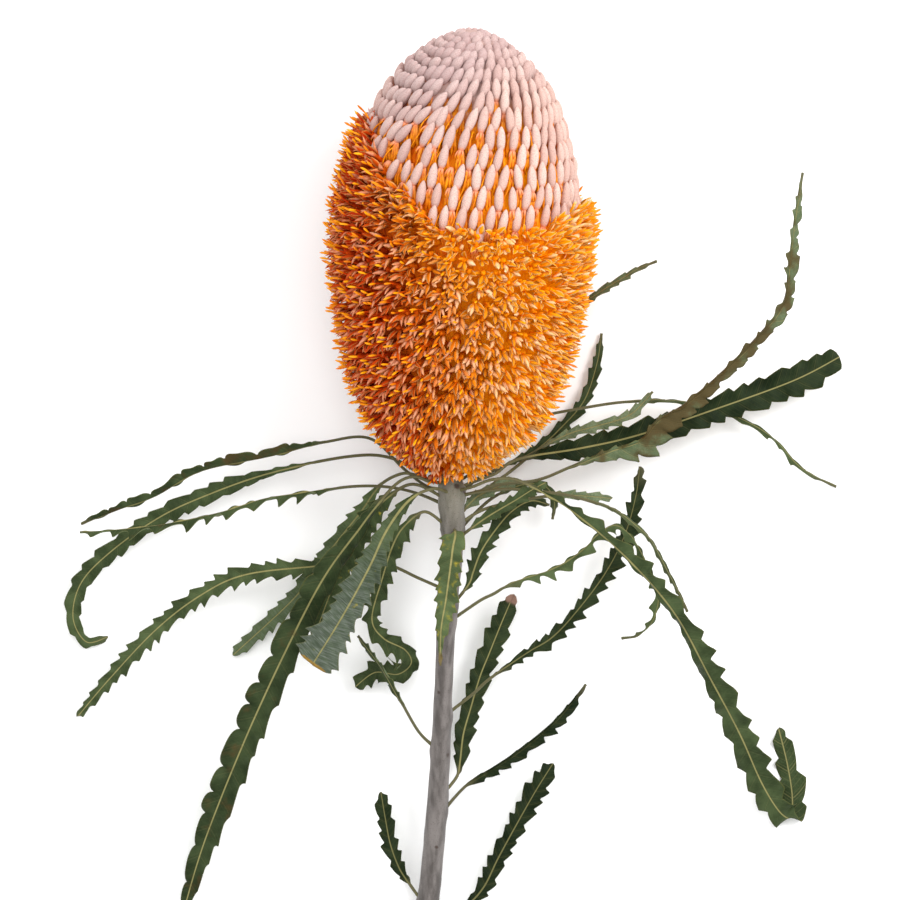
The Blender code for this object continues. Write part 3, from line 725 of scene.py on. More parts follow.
# %% Rows of the buds
# How many buds stand in a row while the row's radius is at least this many millimetres.
BUDS_IN_ROW = ((25.5, 46), (19.5, 38), (14.5, 28), (10, 20), (6, 13), (2.5, 7), (0, 1))
BUD_LIFT = 2.1
LOW_LIFT = 0.7
FIRST_BUDS = 55
ROW_HEIGHTS = (95, 112, 131)
ROW_PITCHES = (5.9, 5, 3.1)
ROW_START = 0.25
TURN_SHUFFLE = 0.016
DISTANCE_SHUFFLE = 0.3
LAST_BUD = 0.6
# Between these heights, on the upper left, this share of the buds is left out.
GAP_HEIGHTS = (92, 107)
GAP_SHARE = 0.18
GAP_ANGLE = 0.9
GAP_EDGE = -0.4

rows, bud_distance, bud_angle = 0, [], []
distance = FIRST_BUDS
while distance < CORE_LENGTH:
    height, radius = outline_at(distance)
    places = next(count_in for least, count_in in BUDS_IN_ROW if radius + BUD_LIFT >= least)
    turns = (np.arange(places) + 0.5 * (rows % 2) + ROW_START) / places * math.tau
    bud_angle.append((turns + chance.normal(0, TURN_SHUFFLE, places)) % math.tau)
    bud_distance.append(distance + chance.normal(0, DISTANCE_SHUFFLE, places))
    distance += float(np.interp(height, ROW_HEIGHTS, ROW_PITCHES))
    rows += 1
bud_distance = np.minimum(np.concatenate(bud_distance), CORE_LENGTH - LAST_BUD)
bud_angle = np.concatenate(bud_angle)
bud_height = outline_at(bud_distance)[0]
is_bud = bud_height > open_height(bud_angle) - 1
bud_distance, bud_angle, bud_height = (values[is_bud] for values in
                                       (bud_distance, bud_angle, bud_height))
bud_count = len(bud_angle)
in_gaps = ((np.cos(bud_angle - GAP_ANGLE) < GAP_EDGE) & (bud_height > GAP_HEIGHTS[0])
           & (bud_height < GAP_HEIGHTS[1]))
shown = chance.random(bud_count) > GAP_SHARE * in_gaps
print("buds:", bud_count, "in rows:", rows, "shown:", shown.sum())

# %% Directions of the buds
BUD_LENGTH = 8.2
BUD_RADIUS = 1.36
BUD_TILT = 15
TOP_TILT = 40
TOP_LIFT = -3.6
LEFT_LEAN = 46
TILT_SPREAD = 3.5
LEAN_SPREAD = 5
LEFT_ANGLE = 0.5
LEFT_FROM = 92
TOP_FROM = 112
CHANGE_OVER = 20
LIFT_HEIGHTS = (82, 104)
SHORTER_AT_TOP = 0.36
FOOT_SHARE = 0.45

near_top = held((bud_height - TOP_FROM) / CHANGE_OVER)
upper_left = held(-np.cos(bud_angle - LEFT_ANGLE))
upper_left *= held(0.6 - np.sin(bud_angle))
upper_left *= 0.35 + 0.65 * held((bud_height - LEFT_FROM) / CHANGE_OVER)
bud_up = up_the_core(bud_distance, bud_angle)
bud_round = np.cross(HEAD_AXIS, outward(bud_angle))
bud_out = unit(np.cross(bud_round, bud_up))
tilt = np.radians(BUD_TILT + TOP_TILT * near_top + chance.normal(0, TILT_SPREAD, bud_count))
sideways = np.radians(LEFT_LEAN * upper_left + chance.normal(0, LEAN_SPREAD, bud_count))
bud_aim = unit(bud_up * (np.cos(tilt) * np.cos(sideways))[:, None]
               + bud_round * np.sin(sideways)[:, None] + bud_out * np.sin(tilt)[:, None])
bud_size = chance.uniform(0.93, 1.06, bud_count)
bud_length = BUD_LENGTH * bud_size * (1 - SHORTER_AT_TOP * near_top)
bud_middle = (on_core(bud_distance, bud_angle)
              + bud_out * (np.interp(bud_height, LIFT_HEIGHTS, (LOW_LIFT, BUD_LIFT))
                           + TOP_LIFT * near_top)[:, None])
bud_foot = bud_middle - bud_aim * (bud_length * FOOT_SHARE)[:, None]

# %% Spindles of the buds
BUD_RINGS = np.array((0, 0.05, 0.14, 0.28, 0.44, 0.6, 0.75, 0.88, 0.96, 1))
BUD_OUTLINE = np.array((0.34, 0.54, 0.78, 0.96, 1, 0.96, 0.82, 0.56, 0.3, 0.06))
BUD_AROUND = 10
BUD_BULGE = 1.2
WIDER_ON_LEFT = 0.14
WIDER_AT_TOP = 0.16
# Share of painted shade that greys the buds on the upper left, away from the lamp.
SHADE_ON_LEFT = 0.8

bud_path = bud_foot[:, None] + bud_aim[:, None] * (BUD_RINGS * bud_length[:, None])[..., None]
bud_path += bud_out[:, None] * by_ring(BUD_RINGS * (1 - BUD_RINGS) * BUD_BULGE)
bud_width = BUD_RADIUS * bud_size * (1 + WIDER_ON_LEFT * upper_left + WIDER_AT_TOP * near_top)
bud_radius = BUD_OUTLINE[None] * bud_width[:, None]
buds = Piece(("along", "pick", "grey"))
bud_rings = tubes(bud_path, bud_out[:, None], bud_radius, BUD_AROUND)
buds.add(press_on_table(bud_rings[shown]), along=by_ring(BUD_RINGS),
         pick=by_path(chance.random(bud_count)[shown]),
         grey=by_path(held(near_top + SHADE_ON_LEFT * upper_left)[shown]))

# %% Finish of the buds
velvet = Finish("bud_velvet")
along, pick = velvet.mark("along"), velvet.mark("pick")
nap = velvet.noise(0.28, 4)
pink = velvet.blend(pick, (222, 192, 180), (204, 168, 156))
lilac = velvet.blend(pick, (200, 176, 172), (184, 158, 156))
# Painted shade: buds on the upper left turn to the greyer lilac; those near the top are greyer
# too.
colour = velvet.blend(velvet.mark("grey"), pink, lilac)
colour = velvet.blend(velvet.ease(nap, 0.42, 0.66) * 0.5, colour, (160, 120, 112))
colour = velvet.blend(velvet.ease(along, 0.24, 0.03), colour, (222, 138, 100))
velvet.surface({"Base Color": colour, "Roughness": 0.86, "Normal": velvet.bump(nap, 0.16),
                "Sheen Weight": 0.06, "Sheen Roughness": 0.5, "Specular IOR Level": 0.1})
buds.build("buds", velvet.material, "unopened_buds")

# %% [markdown]
# ### Claws and tubes under the buds
#
# Each bud stands on the claws of its four limbs. Two or three of them bow out below the bud like
# little legs, salmon at the top and golden at the end, and between the rows the golden tubes of
# the buds can be seen, with the bent styles of a few of them. All of these are short bent tubes
# with one finish, and its colour again follows the mark `along`.

# %% Legs of the buds
LEGS = 3
LEG_RINGS = np.array((0, 0.33, 0.67, 1))
LEG_RADIUS = np.array((0.46, 0.42, 0.35, 0.2))
LEG_FLATNESS = 0.8
LEG_LENGTH = 3
LEG_BOW = 0.85
LEG_TURNS = np.array((-66, 0, 66))
LEG_TURN_SPREAD = 12
CLAW_START = 0.6
LEG_START = 0.3

legs = (bud_count, LEGS)
leg_turn = np.radians(LEG_TURNS + chance.normal(0, LEG_TURN_SPREAD, legs))
leg_out = turned(bud_out[:, None], bud_round[:, None], leg_turn)
claw_start = bud_foot + bud_aim * CLAW_START
leg_start = claw_start[:, None] + leg_out * LEG_START
leg_path = (leg_start[:, :, None] - bud_aim[:, None, None]
            * (LEG_RINGS * LEG_LENGTH)[:, None]
            + leg_out[:, :, None] * (np.sin(LEG_RINGS * 2.4) * LEG_BOW)[:, None]
            * (1 - near_top)[:, None, None, None])
leg_path = leg_path.reshape(-1, len(LEG_RINGS), 3)
leg_rings = tubes(leg_path, leg_out.reshape(-1, 1, 3), LEG_RADIUS, flatness=LEG_FLATNESS)

# %% Tubes of the buds
SHANK_RINGS = np.array((0, 0.3, 0.65, 1))
SHANK_RADIUS = np.array((0.5, 0.62, 0.62, 0.45))
SHANKS = 3
SHANK_PITCH = 1.15
SHANK_LENGTH = 7
SHANK_DROP = 2.3

shank_side = (np.arange(SHANKS) - 1) * SHANK_PITCH
shank_run = SHANK_RINGS[None, None, :, None]
shank_path = (claw_start[:, None, None]
              + bud_round[:, None, None] * (shank_side[:, None, None] * (0.25 + shank_run)
                                            * (1 - near_top)[:, None, None, None])
              - bud_up[:, None, None] * (SHANK_LENGTH * shank_run)
              - bud_out[:, None, None] * (SHANK_DROP * shank_run ** 1.4))
shank_path = shank_path.reshape(-1, len(SHANK_RINGS), 3)
shank_rings = tubes(shank_path, np.repeat(bud_out, SHANKS, axis=0)[:, None], SHANK_RADIUS)

# %% Golden styles that bow out between the buds
BOWS = 120
BOWS_BELOW = 112
BOW_RINGS = np.linspace(0, 1, 9)
BOW_RADIUS = 0.24
BOW_LENGTH = 9.5
BOW_START = 3.2
BOWS_TO_LEFT = 0.6

loose = np.sort(chance.choice(np.flatnonzero(bud_height < BOWS_BELOW), BOWS, replace=False))
bow_side = np.where(chance.random(BOWS) < BOWS_TO_LEFT, -1, 1)[:, None, None]
bow_run = BOW_RINGS[None, :, None]
bow_path = ((bud_foot[loose] - bud_aim[loose] * BOW_START)[:, None]
            + bud_aim[loose][:, None] * (bow_run * BOW_LENGTH)
            + bud_round[loose][:, None] * bow_side * (1.2 + 0.9 * np.sin(bow_run * math.pi))
            + bud_out[loose][:, None] * (1.5 * np.sin(bow_run * math.pi) - 0.9))
bow_rings = tubes(bow_path, bud_out[loose][:, None], BOW_RADIUS)

# %% Finish of the claws
golden = Finish("golden_claw")
along = golden.mark("along")
streaks = golden.noise(0.5, 3, (1, 0.25, 1))
gold = golden.blend(golden.ease(streaks, 0.3, 0.7), (198, 92, 0), (244, 156, 4))
colour = golden.blend(golden.ease(along, 0.85, 0.2), gold, (230, 150, 114))
golden.surface({"Base Color": colour, "Roughness": 0.6, "Specular IOR Level": 0.2,
                "Normal": golden.bump(streaks, 0.12)})

claws = Piece(("along",))
claws.add(press_on_table(leg_rings), along=by_ring(LEG_RINGS))
claws.add(press_on_table(shank_rings), along=by_ring(0.5 + 0.5 * SHANK_RINGS))
claws.add(press_on_table(bow_rings), along=1)
claws.build("bud_claws", golden.material, "unopened_buds")

# %% [markdown]
# ## Stem
#
# The stem is woody and covered in a short grey-lilac down, a little greener near the head. It
# thickens where leaves join it and keeps small scars where others have dropped. A curve with a
# bevel would give the tube, but not the swellings, so it is lofted like the rest and its radius
# and surface are moved in numpy.

# %% Route of the stem
STEM_END_Y = -199.5
STEM_END_Z = 3.25
STEM_ROUTE = [
    (-58.2, -2.5, 3.2), (-64, -2.2, 3.5), (-70, -2.1, 3.4), (-84, -2.1, 3.1),
    (-103.5, -3.9, 2.9), (-122, -4.6, 2.75), (-155, -6.3, 3.1), (-186, -9, 3.3),
    (STEM_END_Y, -10.2, 3.4),
]
STEM_CURVE, _ = smooth_curve([(x, y, radius) for y, x, radius in STEM_ROUTE])


def stem_at(y):
    """Centre and radius of the stem at these y."""
    x = np.interp(-y, -STEM_CURVE[:, 1], STEM_CURVE[:, 0])
    radius = np.interp(-y, -STEM_CURVE[:, 1], STEM_CURVE[:, 2])
    share = (y - STEM_END_Y) / (HEAD_BASE[1] - STEM_END_Y)
    z = STEM_END_Z + (HEAD_BASE[2] - STEM_END_Z) * share
    return np.stack((x, y, z), axis=-1), radius


STEM_END = stem_at(np.array(STEM_END_Y))[0]
STEM_ALONG = unit(HEAD_BASE - STEM_END)
STEM_SIDE = unit(np.cross(STEM_ALONG, (0, 0, 1)))
STEM_UP = np.cross(STEM_SIDE, STEM_ALONG)

# %% [markdown]
# ### The table of leaves
#
# The stem swells where a leaf joins it, so the leaves are described before its surface is made.
# Each leaf is one call: its place on the stem, its widths, how its blade is turned, the points
# that its midrib runs through, and then whatever makes it look unlike the usual leaf. These can
# be: `pitch`, the distance between its teeth; `depth`, their depth as a share of half the width;
# `lobes`, 1 where the right edge has round lobes in place of teeth; `blunt`, how rounded the teeth
# are; `wave`, the height of the waves in its edges; `left` and `right`, how far each half is
# folded up, in degrees, at even steps from start to end, seen going towards the tip; `left_half`
# and `right_half`, how wide each half is at even steps, as a share of the usual, or `halves` for
# both; `light`, 0 for the darkest green and 1 for the palest; `brown` and `yellow`, the share of
# the blade with such patches; `silver`, how slate-grey and rippled its end is, with painted
# highlights along the ripples; `up`, the side that faces the camera; `dark_below`, how dark its
# underside is; `rib`, how clear its midrib is; and `dried`, the colour of its dried end and where
# that starts.

# %% Leaves: routes of their midribs, and their looks
USUAL_LOOK = {
    "pitch": 5, "depth": 0.5, "lobes": 0, "blunt": 0, "wave": 0.3, "left": (8, 8),
    "right": (8, 8), "left_half": (1, 1), "right_half": (1, 1), "light": 0.35, "brown": 0,
    "yellow": 0, "silver": 0, "up": "upper", "dark_below": 0, "rib": 0.85, "dried": None,
}
LEAVES = {}


def leaf(name, root, half_width, stalk, end, turns, *route, **look):
    """Keeps a leaf in LEAVES.

    root is where its stalk leaves the stem (y, and the angle round the stem: 0 right, 90 up),
    stalk the share of its length that is stalk, end the width left at its tip, and turns how far
    its blade is turned about the midrib in degrees (start, middle, end). route holds the points
    of the midrib."""
    if "halves" in look:
        look["left_half"] = look["right_half"] = look.pop("halves")
    LEAVES[name] = USUAL_LOOK | look | {"root": root, "half_width": half_width, "stalk": stalk,
                                        "end": end, "turns": turns, "route": route}


leaf("leaf_left_1", (-63.2, 203), 3.4, 0.34, 0.2, (70, 75, 60),
     (-10, -61.8, 23.5), (-17, -56.4, 18.5), (-27, -47.5, 16), (-40.5, -48.6, 18),
     (-57.6, -52.8, 19), (-78.3, -57.3, 16), (-92, -64.8, 12), (-102.6, -68.7, 8),
     (-115, -73.5, 3.2), pitch=8.6, depth=0.85, lobes=1, wave=0.5, light=0.24,
     left_half=(0.3, 0.22, 0.3), right_half=(0.8, 1.15, 1), left=(-15, -15), right=(-30, -30),
     brown=0.4, rib=0.6)
leaf("leaf_left_2", (-61.5, 232), 3.5, 0.3, 0.3, (50, 5, 10),
     (-9, -60, 17.5), (-20.4, -53.5, 11), (-33.6, -53, 10.5), (-57.6, -58, 11),
     (-78.3, -65.4, 10.5), (-92, -72, 9), (-106, -82, 8), (-115, -91.5, 6), (-117.5, -102, 4),
     (-113.5, -109.5, 2), (-107, -108, 1.5), pitch=6.4, depth=0.38, light=0.34, wave=0.5,
     blunt=0.8, left_half=(0.3, 0.3, 0.55, 0.5, 0.9, 1, 1, 1, 1),
     right_half=(0.5, 0.5, 0.75, 0.6, 1, 1, 1, 1, 1))
leaf("leaf_left_3", (-67.5, 180), 3, 0.28, 0.3, (-60, -70, -60),
     (-13.2, -63.9, 25.5), (-22.2, -62.1, 24.6), (-33, -62.1, 22), (-47.4, -64.2, 20),
     (-59, -66, 19), (-72.6, -70.2, 17.5), (-90, -73.8, 15.5), (-106, -75.5, 13), (-115, -76, 11),
     pitch=7.4, depth=0.8, wave=0.6, light=0.34, brown=0.15, left=(-20, -25), right=(-20, -20),
     left_half=(1.1, 1.3, 1.1), right_half=(0.4, 0.35, 0.4))
leaf("leaf_left_4", (-93, 182), 3.8, 0.17, 0.35, (20, -10, 0),
     (-12.3, -89.7, 21), (-21.3, -85.8, 18), (-31, -85.2, 16), (-42, -86.1, 15),
     (-64.5, -88.8, 14), (-78.3, -95.1, 12), (-92, -105.6, 9), (-106, -120.3, 5), (-116, -132, 1),
     pitch=4.8, depth=0.5, light=0.4, wave=0.4)
leaf("leaf_left_5", (-61.2, 170), 3.4, 0.22, 0.6, (30, 0, 0),
     (-9, -60.2, 28.6), (-13, -58.6, 26.8), (-17.5, -58.2, 24), (-24, -61.8, 19), (-30, -70, 14.5),
     (-37.2, -79, 10.5), (-44, -88, 8), (-51, -97, 6), (-68.7, -113.4, 1.5), pitch=5, depth=0.42,
     light=0.85, silver=0.4)
leaf("leaf_left_6", (-60.8, 140), 5.3, 0.13, 0.35, (35, 0, 0),
     (-9, -60.4, 34), (-13.5, -59, 34.8), (-18.6, -61, 34), (-25, -68, 32), (-30.3, -75, 30.5),
     (-40.5, -89, 27.5), (-50.7, -108.3, 22.5), (-64.5, -138, 13.5), (-77, -169, 5),
     (-83.5, -190, 0.4), pitch=9.5, depth=0.5, lobes=1, wave=1, light=0.18, left=(-20, -10, 8),
     brown=0.2)
leaf("leaf_left_7", (-63.5, 112), 6.8, 0.17, 0.95, (10, 0, -5),
     (-7, -62.6, 36.5), (-12.3, -64.2, 38.3), (-16.8, -68, 39), (-22.2, -76, 38.8),
     (-27, -86.4, 37.5), (-35, -101, 34), (-44, -115.5, 28), pitch=4.2, depth=0.36, light=0.4,
     silver=1, wave=0.3, yellow=0.1, dried=(142, 112, 52, 0.985),
     halves=(1, 1, 0.5, 0.45, 0.55, 0.75, 0.9, 0.9, 1, 1.2, 1.5))
leaf("leaf_left_8", (-65.5, 160), 3.4, 0.22, 0.4, (0, 10, 0),
     (-11.4, -61.8, 30), (-16.2, -61.8, 29.8), (-21.9, -65.7, 28.2), (-25.8, -69.8, 26.5),
     (-32.1, -79.5, 23), (-37.2, -90, 19.5), (-44, -108, 13), pitch=4.4, depth=0.45, wave=0.6,
     light=0.36, yellow=0.3, left_half=(1.6, 1.6, 1.2), right_half=(1.3, 1.3, 1.2))
leaf("leaf_left_9", (-73.5, 165), 3.4, 0.1, 0.5, (20, 20, 10),
     (-10.2, -69.6, 30.5), (-15.9, -73.2, 30), (-19.8, -79.2, 28), (-23.4, -90.3, 25),
     (-26.4, -102, 20.5), (-23, -108, 17), (-16.5, -111.6, 14.5), (-14.6, -115.6, 12),
     (-18.5, -119, 9.5), (-25.5, -118.6, 7.5), (-31.5, -123, 4.5), pitch=5, depth=0.5, wave=0.6,
     light=0.3, yellow=0.1, left_half=(1, 2.3, 2.1, 1.5, 1.1, 1, 1, 1, 1.2, 1.6, 1.8),
     right_half=(1, 1.2, 1.2, 1.1, 1, 1, 1.2, 1.9, 2.2, 1.6, 1.3))
leaf("leaf_left_10", (-141, 170), 1.8, 0.35, 0.3, (60, 60, 50),
     (-12.3, -136.2, 15.5), (-18, -126.3, 16.5), (-23.7, -116.4, 16.5), (-30.6, -107.4, 14),
     pitch=4.4, depth=0.55, light=0.2)
leaf("leaf_left_11", (-188, 180), 3, 0.16, 0.4, (10, 10, 0),
     (-15.6, -182.1, 7), (-18.3, -177.6, 7.5), (-20.8, -170.7, 7.5), (-22.2, -163.8, 7),
     (-23.7, -155.1, 5.5), pitch=4.6, light=0.04, rib=0.5, blunt=0.5, halves=(1, 1, 1.1, 1.3))
leaf("leaf_right_1", (-65, -15), 2.9, 0.2, 0.15, (-40, -55, -65),
     (6, -63.4, 25.5), (12, -61.5, 24), (24, -60, 22), (34, -56, 21.5), (45.6, -51.3, 22),
     (55, -48, 23.5), (60.3, -42, 25.5), (68, -37.5, 28), (78, -29, 31), (88.5, -18.6, 33),
     (97.5, -7.2, 34), (99.3, 4.5, 34), (101, 18.3, 33), (103.5, 32.5, 31), pitch=5.6, depth=0.5,
     wave=0.6, light=0.6, brown=0.6, up="under", dark_below=0.35, right=(0, 38, 52, 50, 48, 48),
     left_half=(0.8,) * 6 + (0.4,) * 6 + (0.9,) * 8,
     right_half=(0.9, 0.9, 0.9, 1.3, 1.2, 1.3, 2.4, 3, 2.7, 1.8) + (1.2,) * 10)
leaf("leaf_right_2", (-62, 5), 5, 0.2, 0.3, (0, -10, 0),
     (6.6, -59.8, 26), (11.4, -57.9, 21.5), (15.5, -54.8, 17.2), (22, -52.8, 15.2),
     (37, -50.4, 15.5), (54, -46.5, 16), (76.5, -39, 15), (101.4, -30, 11), (115.5, -22.8, 8),
     pitch=6.4, depth=0.36, light=0.04, wave=0.5, blunt=0.8, halves=(1,) * 8 + (1.1, 1.5, 2.2))
leaf("leaf_right_3", (-61, -52), 1.7, 0.45, 0.3, (60, 60, 30),
     (5.5, -56.8, 16), (14, -48.5, 10.5), (24, -41.4, 9.3), (37, -38.4, 9.8), (52, -36.3, 9.8),
     (68.7, -36.6, 8), (84, -41, 6), (95.4, -47.4, 5), (104, -56.4, 3), (115, -62.2, 1.2), pitch=7,
     light=0.34, left_half=(1.1, 1.1, 0.6, 0.4))
leaf("leaf_right_4", (-66, -58), 2.5, 0.3, 0.2, (0, -5, 0),
     (4.5, -60.5, 17), (9, -58, 12.5), (16, -54.8, 8.2), (23.4, -51, 5.5), (30.6, -44.7, 4.3),
     (38.1, -36, 3.8), (42, -25, 2.6), (43.5, -15.5, 1.2), light=0.14, rib=0.6)
leaf("leaf_right_5", (-71, -50), 2.2, 0.5, 0.3, (0, 10, 10),
     (4.5, -65.5, 16.8), (15, -58, 11.5), (24, -51, 11), (33.3, -46.2, 11), (41, -44, 11.3),
     (49, -41.7, 12), (53.7, -39, 12.6), (58.8, -33.3, 13.5), pitch=5, light=0.75, up="under")
leaf("leaf_right_6", (-61, -90), 1.6, 0.5, 0.2, (0, 20, 20),
     (1, -54, 11.5), (8.5, -40.5, 4.2), (19.5, -27, 3.2), (30, -15, 7.5), (37.2, -7.2, 11.5),
     (42.3, -3.5, 14.5), (48.3, 0.2, 18), (54, 3.6, 21), (59.7, 6, 24), light=0.65, up="under",
     dark_below=0.4)
leaf("leaf_right_7", (-62.8, 42), 5.4, 0.12, 0.25, (-30, -20, 0),
     (4.2, -62, 34), (9.5, -60, 37), (15.6, -59.6, 38.6), (21, -61.6, 39.2), (33.9, -69.3, 39),
     (50.4, -83.4, 36.5), (65, -100.2, 31), (76.2, -120.3, 22.5), (85.2, -137, 14),
     (92, -152, 8.5), (97.6, -161, 6), (101.2, -162.6, 2.6), (101.6, -156, 0.7), (100, -146, 0.7),
     (97.5, -136, 0.7), pitch=8.4, depth=0.46, light=0.34, wave=1, dark_below=1, blunt=0.8,
     left=(-20, -10, 0, 8), right=(-40, -40, -10, 8),
     left_half=(0.6, 0.7, 0.8, 0.95, 1.05, 1.1, 1.6),
     right_half=(0.35, 0.3, 0.3, 0.55, 1, 1.1, 1.6))
leaf("leaf_right_8", (-77, 18), 2.7, 0.12, 0.5, (0, -10, 0),
     (4.5, -74, 28.5), (8.1, -71.4, 30.2), (12.6, -68.6, 31.8), (17.1, -66, 32.8),
     (21.9, -63, 33.4), (26, -60.8, 33.6), pitch=4.2, light=0.38, yellow=0.1)
leaf("leaf_right_9", (-74.5, 75), 5, 0.05, 0.15, (0, 0, 0),
     (-1, -76.5, 32.4), (-1.8, -80.3, 33.8), (-2.4, -85, 33.2), (-3.9, -96, 30.5),
     (-5.4, -105.3, 27.5), (-5.6, -116, 23.8), pitch=4, depth=0.36, light=0.7, yellow=0.7,
     wave=0.5, rib=1, dried=(112, 98, 64, 0.88),
     left_half=(1, 1.8, 1, 0.8, 0.8, 0.9, 0.9, 0.7, 0.36, 0.2, 0.6),
     right_half=(1, 2, 1.15, 1, 0.95, 0.85, 0.7, 0.5, 0.3, 0.2, 0.6))
leaf("leaf_right_10", (-97, 0), 3.4, 0.08, 0.2, (0, -10, 0),
     (3, -91.5, 22.5), (4.4, -87.6, 22.5), (6.6, -81.8, 22.8), (10.4, -75.9, 22.6),
     (15.9, -69.6, 21.4), (21.8, -66.4, 19), (27.3, -67.6, 16.5), pitch=4.4, light=0.22)
leaf("leaf_right_11", (-64.5, 22), 1.4, 0.42, 0.3, (50, 55, 40),
     (6, -63.6, 30.5), (14.1, -62.8, 29.4), (20.4, -63.2, 28.6), (30.3, -64.2, 28.4),
     (39, -66.3, 28), (46.5, -69, 27.5), (53.4, -74.1, 25.5), (57.9, -78.6, 24), (62.7, -87.3, 20),
     (66.6, -94.5, 16), (69.3, -100, 13), pitch=5, light=0.34)
leaf("leaf_right_12", (-70.5, -14), 2.7, 0.1, 0.3, (10, 10, 10),
     (5, -65.6, 22), (8.6, -63.6, 20.8), (12.8, -61.8, 19.8), (17.8, -60.6, 19), pitch=4.6,
     light=0.8, up="under")
leaf("leaf_right_13", (-73, 5), 1.9, 0.6, 0.6, (0, 0, 0),
     (6, -69.6, 26), (12, -67.6, 25), (20, -66, 23.8), (30.3, -64.6, 23.4), (39.6, -65, 23.6),
     (46.2, -65.6, 23.6), pitch=4.4, light=0.8, up="under")
leaf("leaf_right_14", (-76, -40), 1.6, 0.4, 0.3, (0, 0, 20),
     (4, -71, 19.5), (11, -65, 14), (20, -61.4, 11), (26.3, -62.2, 9.6), (28.9, -66.5, 8),
     (28.5, -72, 6), pitch=4.8, light=0.22, brown=0.1, rib=0.6)
leaf("leaf_right_15", (-130.5, 2), 2.6, 0.16, 0.3, (40, 15, 0),
     (4.2, -125, 14.8), (8.7, -120.9, 13.2), (14.4, -117, 12.2), (21.6, -112.2, 11.2),
     (28, -108.3, 10.5), (34.5, -101.7, 10), (44.1, -89.1, 10), (50.4, -76.8, 11.5),
     (53.7, -65, 12.8), (54.9, -56, 13), pitch=4.8, depth=0.6, light=0.08, wave=0.5, rib=0.5,
     blunt=0.3, left_half=(1, 1, 1.1, 1.2, 1.3), right_half=(1, 1.1, 1.4, 1.8, 2.2))
leaf("leaf_right_16", (-102, 5), 2.1, 0.14, 0.2, (30, 40, 30),
     (6.3, -96.6, 20.5), (10.5, -94.5, 20), (16.5, -91.2, 19.6), (28.8, -87, 19.2),
     (36.6, -82.2, 19.8), (42.6, -76.4, 20.2), (47, -74, 20), (51.3, -76.4, 19), (54.4, -81, 17.6),
     (57.9, -88.2, 15), (60.3, -96, 12), (58.6, -103, 9.5), (54.6, -107.2, 7.5), (49.5, -108.3, 6),
     pitch=6, depth=0.7, wave=0.8, light=0.55, rib=0.6, right=(-15, -20, 0),
     left_half=(0.5, 0.4, 0.5), right_half=(1.3, 1.9, 1.3, 1.1))
leaf("leaf_right_17", (-155, -28), 3.6, 0.1, 0.45, (0, 0, 0),
     (-0.6, -150.2, 8.4), (0.4, -145.5, 7), (1.4, -137.4, 6.4), (3.6, -129.6, 6.4),
     (6.4, -120, 6.6), (9.4, -112.5, 7), (13, -103.5, 7.5), (16.6, -95.1, 8), pitch=5.6, depth=0.4,
     light=0.1, dried=(138, 108, 94, 0.945), blunt=0.7, wave=0.5, halves=(1.1, 1.1, 1.1, 1.4))
leaf("leaf_right_18", (-160, 5), 2.3, 0.14, 0.2, (-60, -60, -50),
     (2.4, -152.8, 9.8), (10.5, -147.8, 8), (16.8, -143.7, 7), (24, -138.2, 6), (29.7, -133.2, 5),
     (34.5, -127.6, 4), (38.7, -122.4, 3), pitch=5.4, depth=0.65, light=0, left=(20, 20), rib=0.1,
     dark_below=1, right=(48, 48), left_half=(0.3, 0.3), right_half=(1.8, 1.8))
leaf("leaf_right_19", (-193.5, 0), 3.4, 0.12, 0.45, (10, 0, 0),
     (2, -189.8, 4.6), (7.5, -184.2, 4.4), (11.7, -175.8, 4.4), (15.9, -168, 4.4),
     (20.1, -160.5, 4.2), (24.3, -153.3, 3.8), (28.6, -146.6, 3), pitch=4.6, depth=0.45, light=0,
     rib=0.5, blunt=0.5, halves=(1, 1, 1.1, 1.5))
print("leaves:", len(LEAVES))

# %% Surface of the stem
STEM_AROUND = 40
STEM_STEP = 0.7
SWELLING = 0.5
STEM_SOFTNESS = 0.4
LEAF_BASE = (2.6, 1.4)
SCAR_RIM = 1.3
SCAR_HOLLOW = 0.6
SCAR_DARK = 0.62
MOST_SWELLING = 0.9
# The scars left by older leaves: y, angle round the stem, and size.
SCARS = ((-61.2, 62, 1.7), (-62.8, 20, 1.9), (-73.6, 0, 2), (-74, 176, 1.4),
         (-84.5, 300, 1.5), (-112, 250, 1.6), (-124, 120, 1.2), (-143, 40, 1.3),
         (-168, 200, 1.6), (-171, 75, 1.1), (-183, 330, 1.4))

stem_y = np.arange(STEM_ROUTE[0][0], STEM_END_Y, -STEM_STEP)
stem_y = np.append(stem_y, STEM_END_Y)
stem_centre, stem_radius = stem_at(stem_y)
turns = np.arange(STEM_AROUND) / STEM_AROUND * math.tau
swelling = np.zeros((len(stem_y), STEM_AROUND))


def patch(y, angle, size_along, size_round):
    """1 at a place on the stem, falling to 0 round it."""
    away = np.angle(np.exp(1j * (turns - math.radians(angle)))) * stem_radius[:, None]
    return np.exp(-(((stem_y[:, None] - y) / size_along) ** 2 + (away / size_round) ** 2))


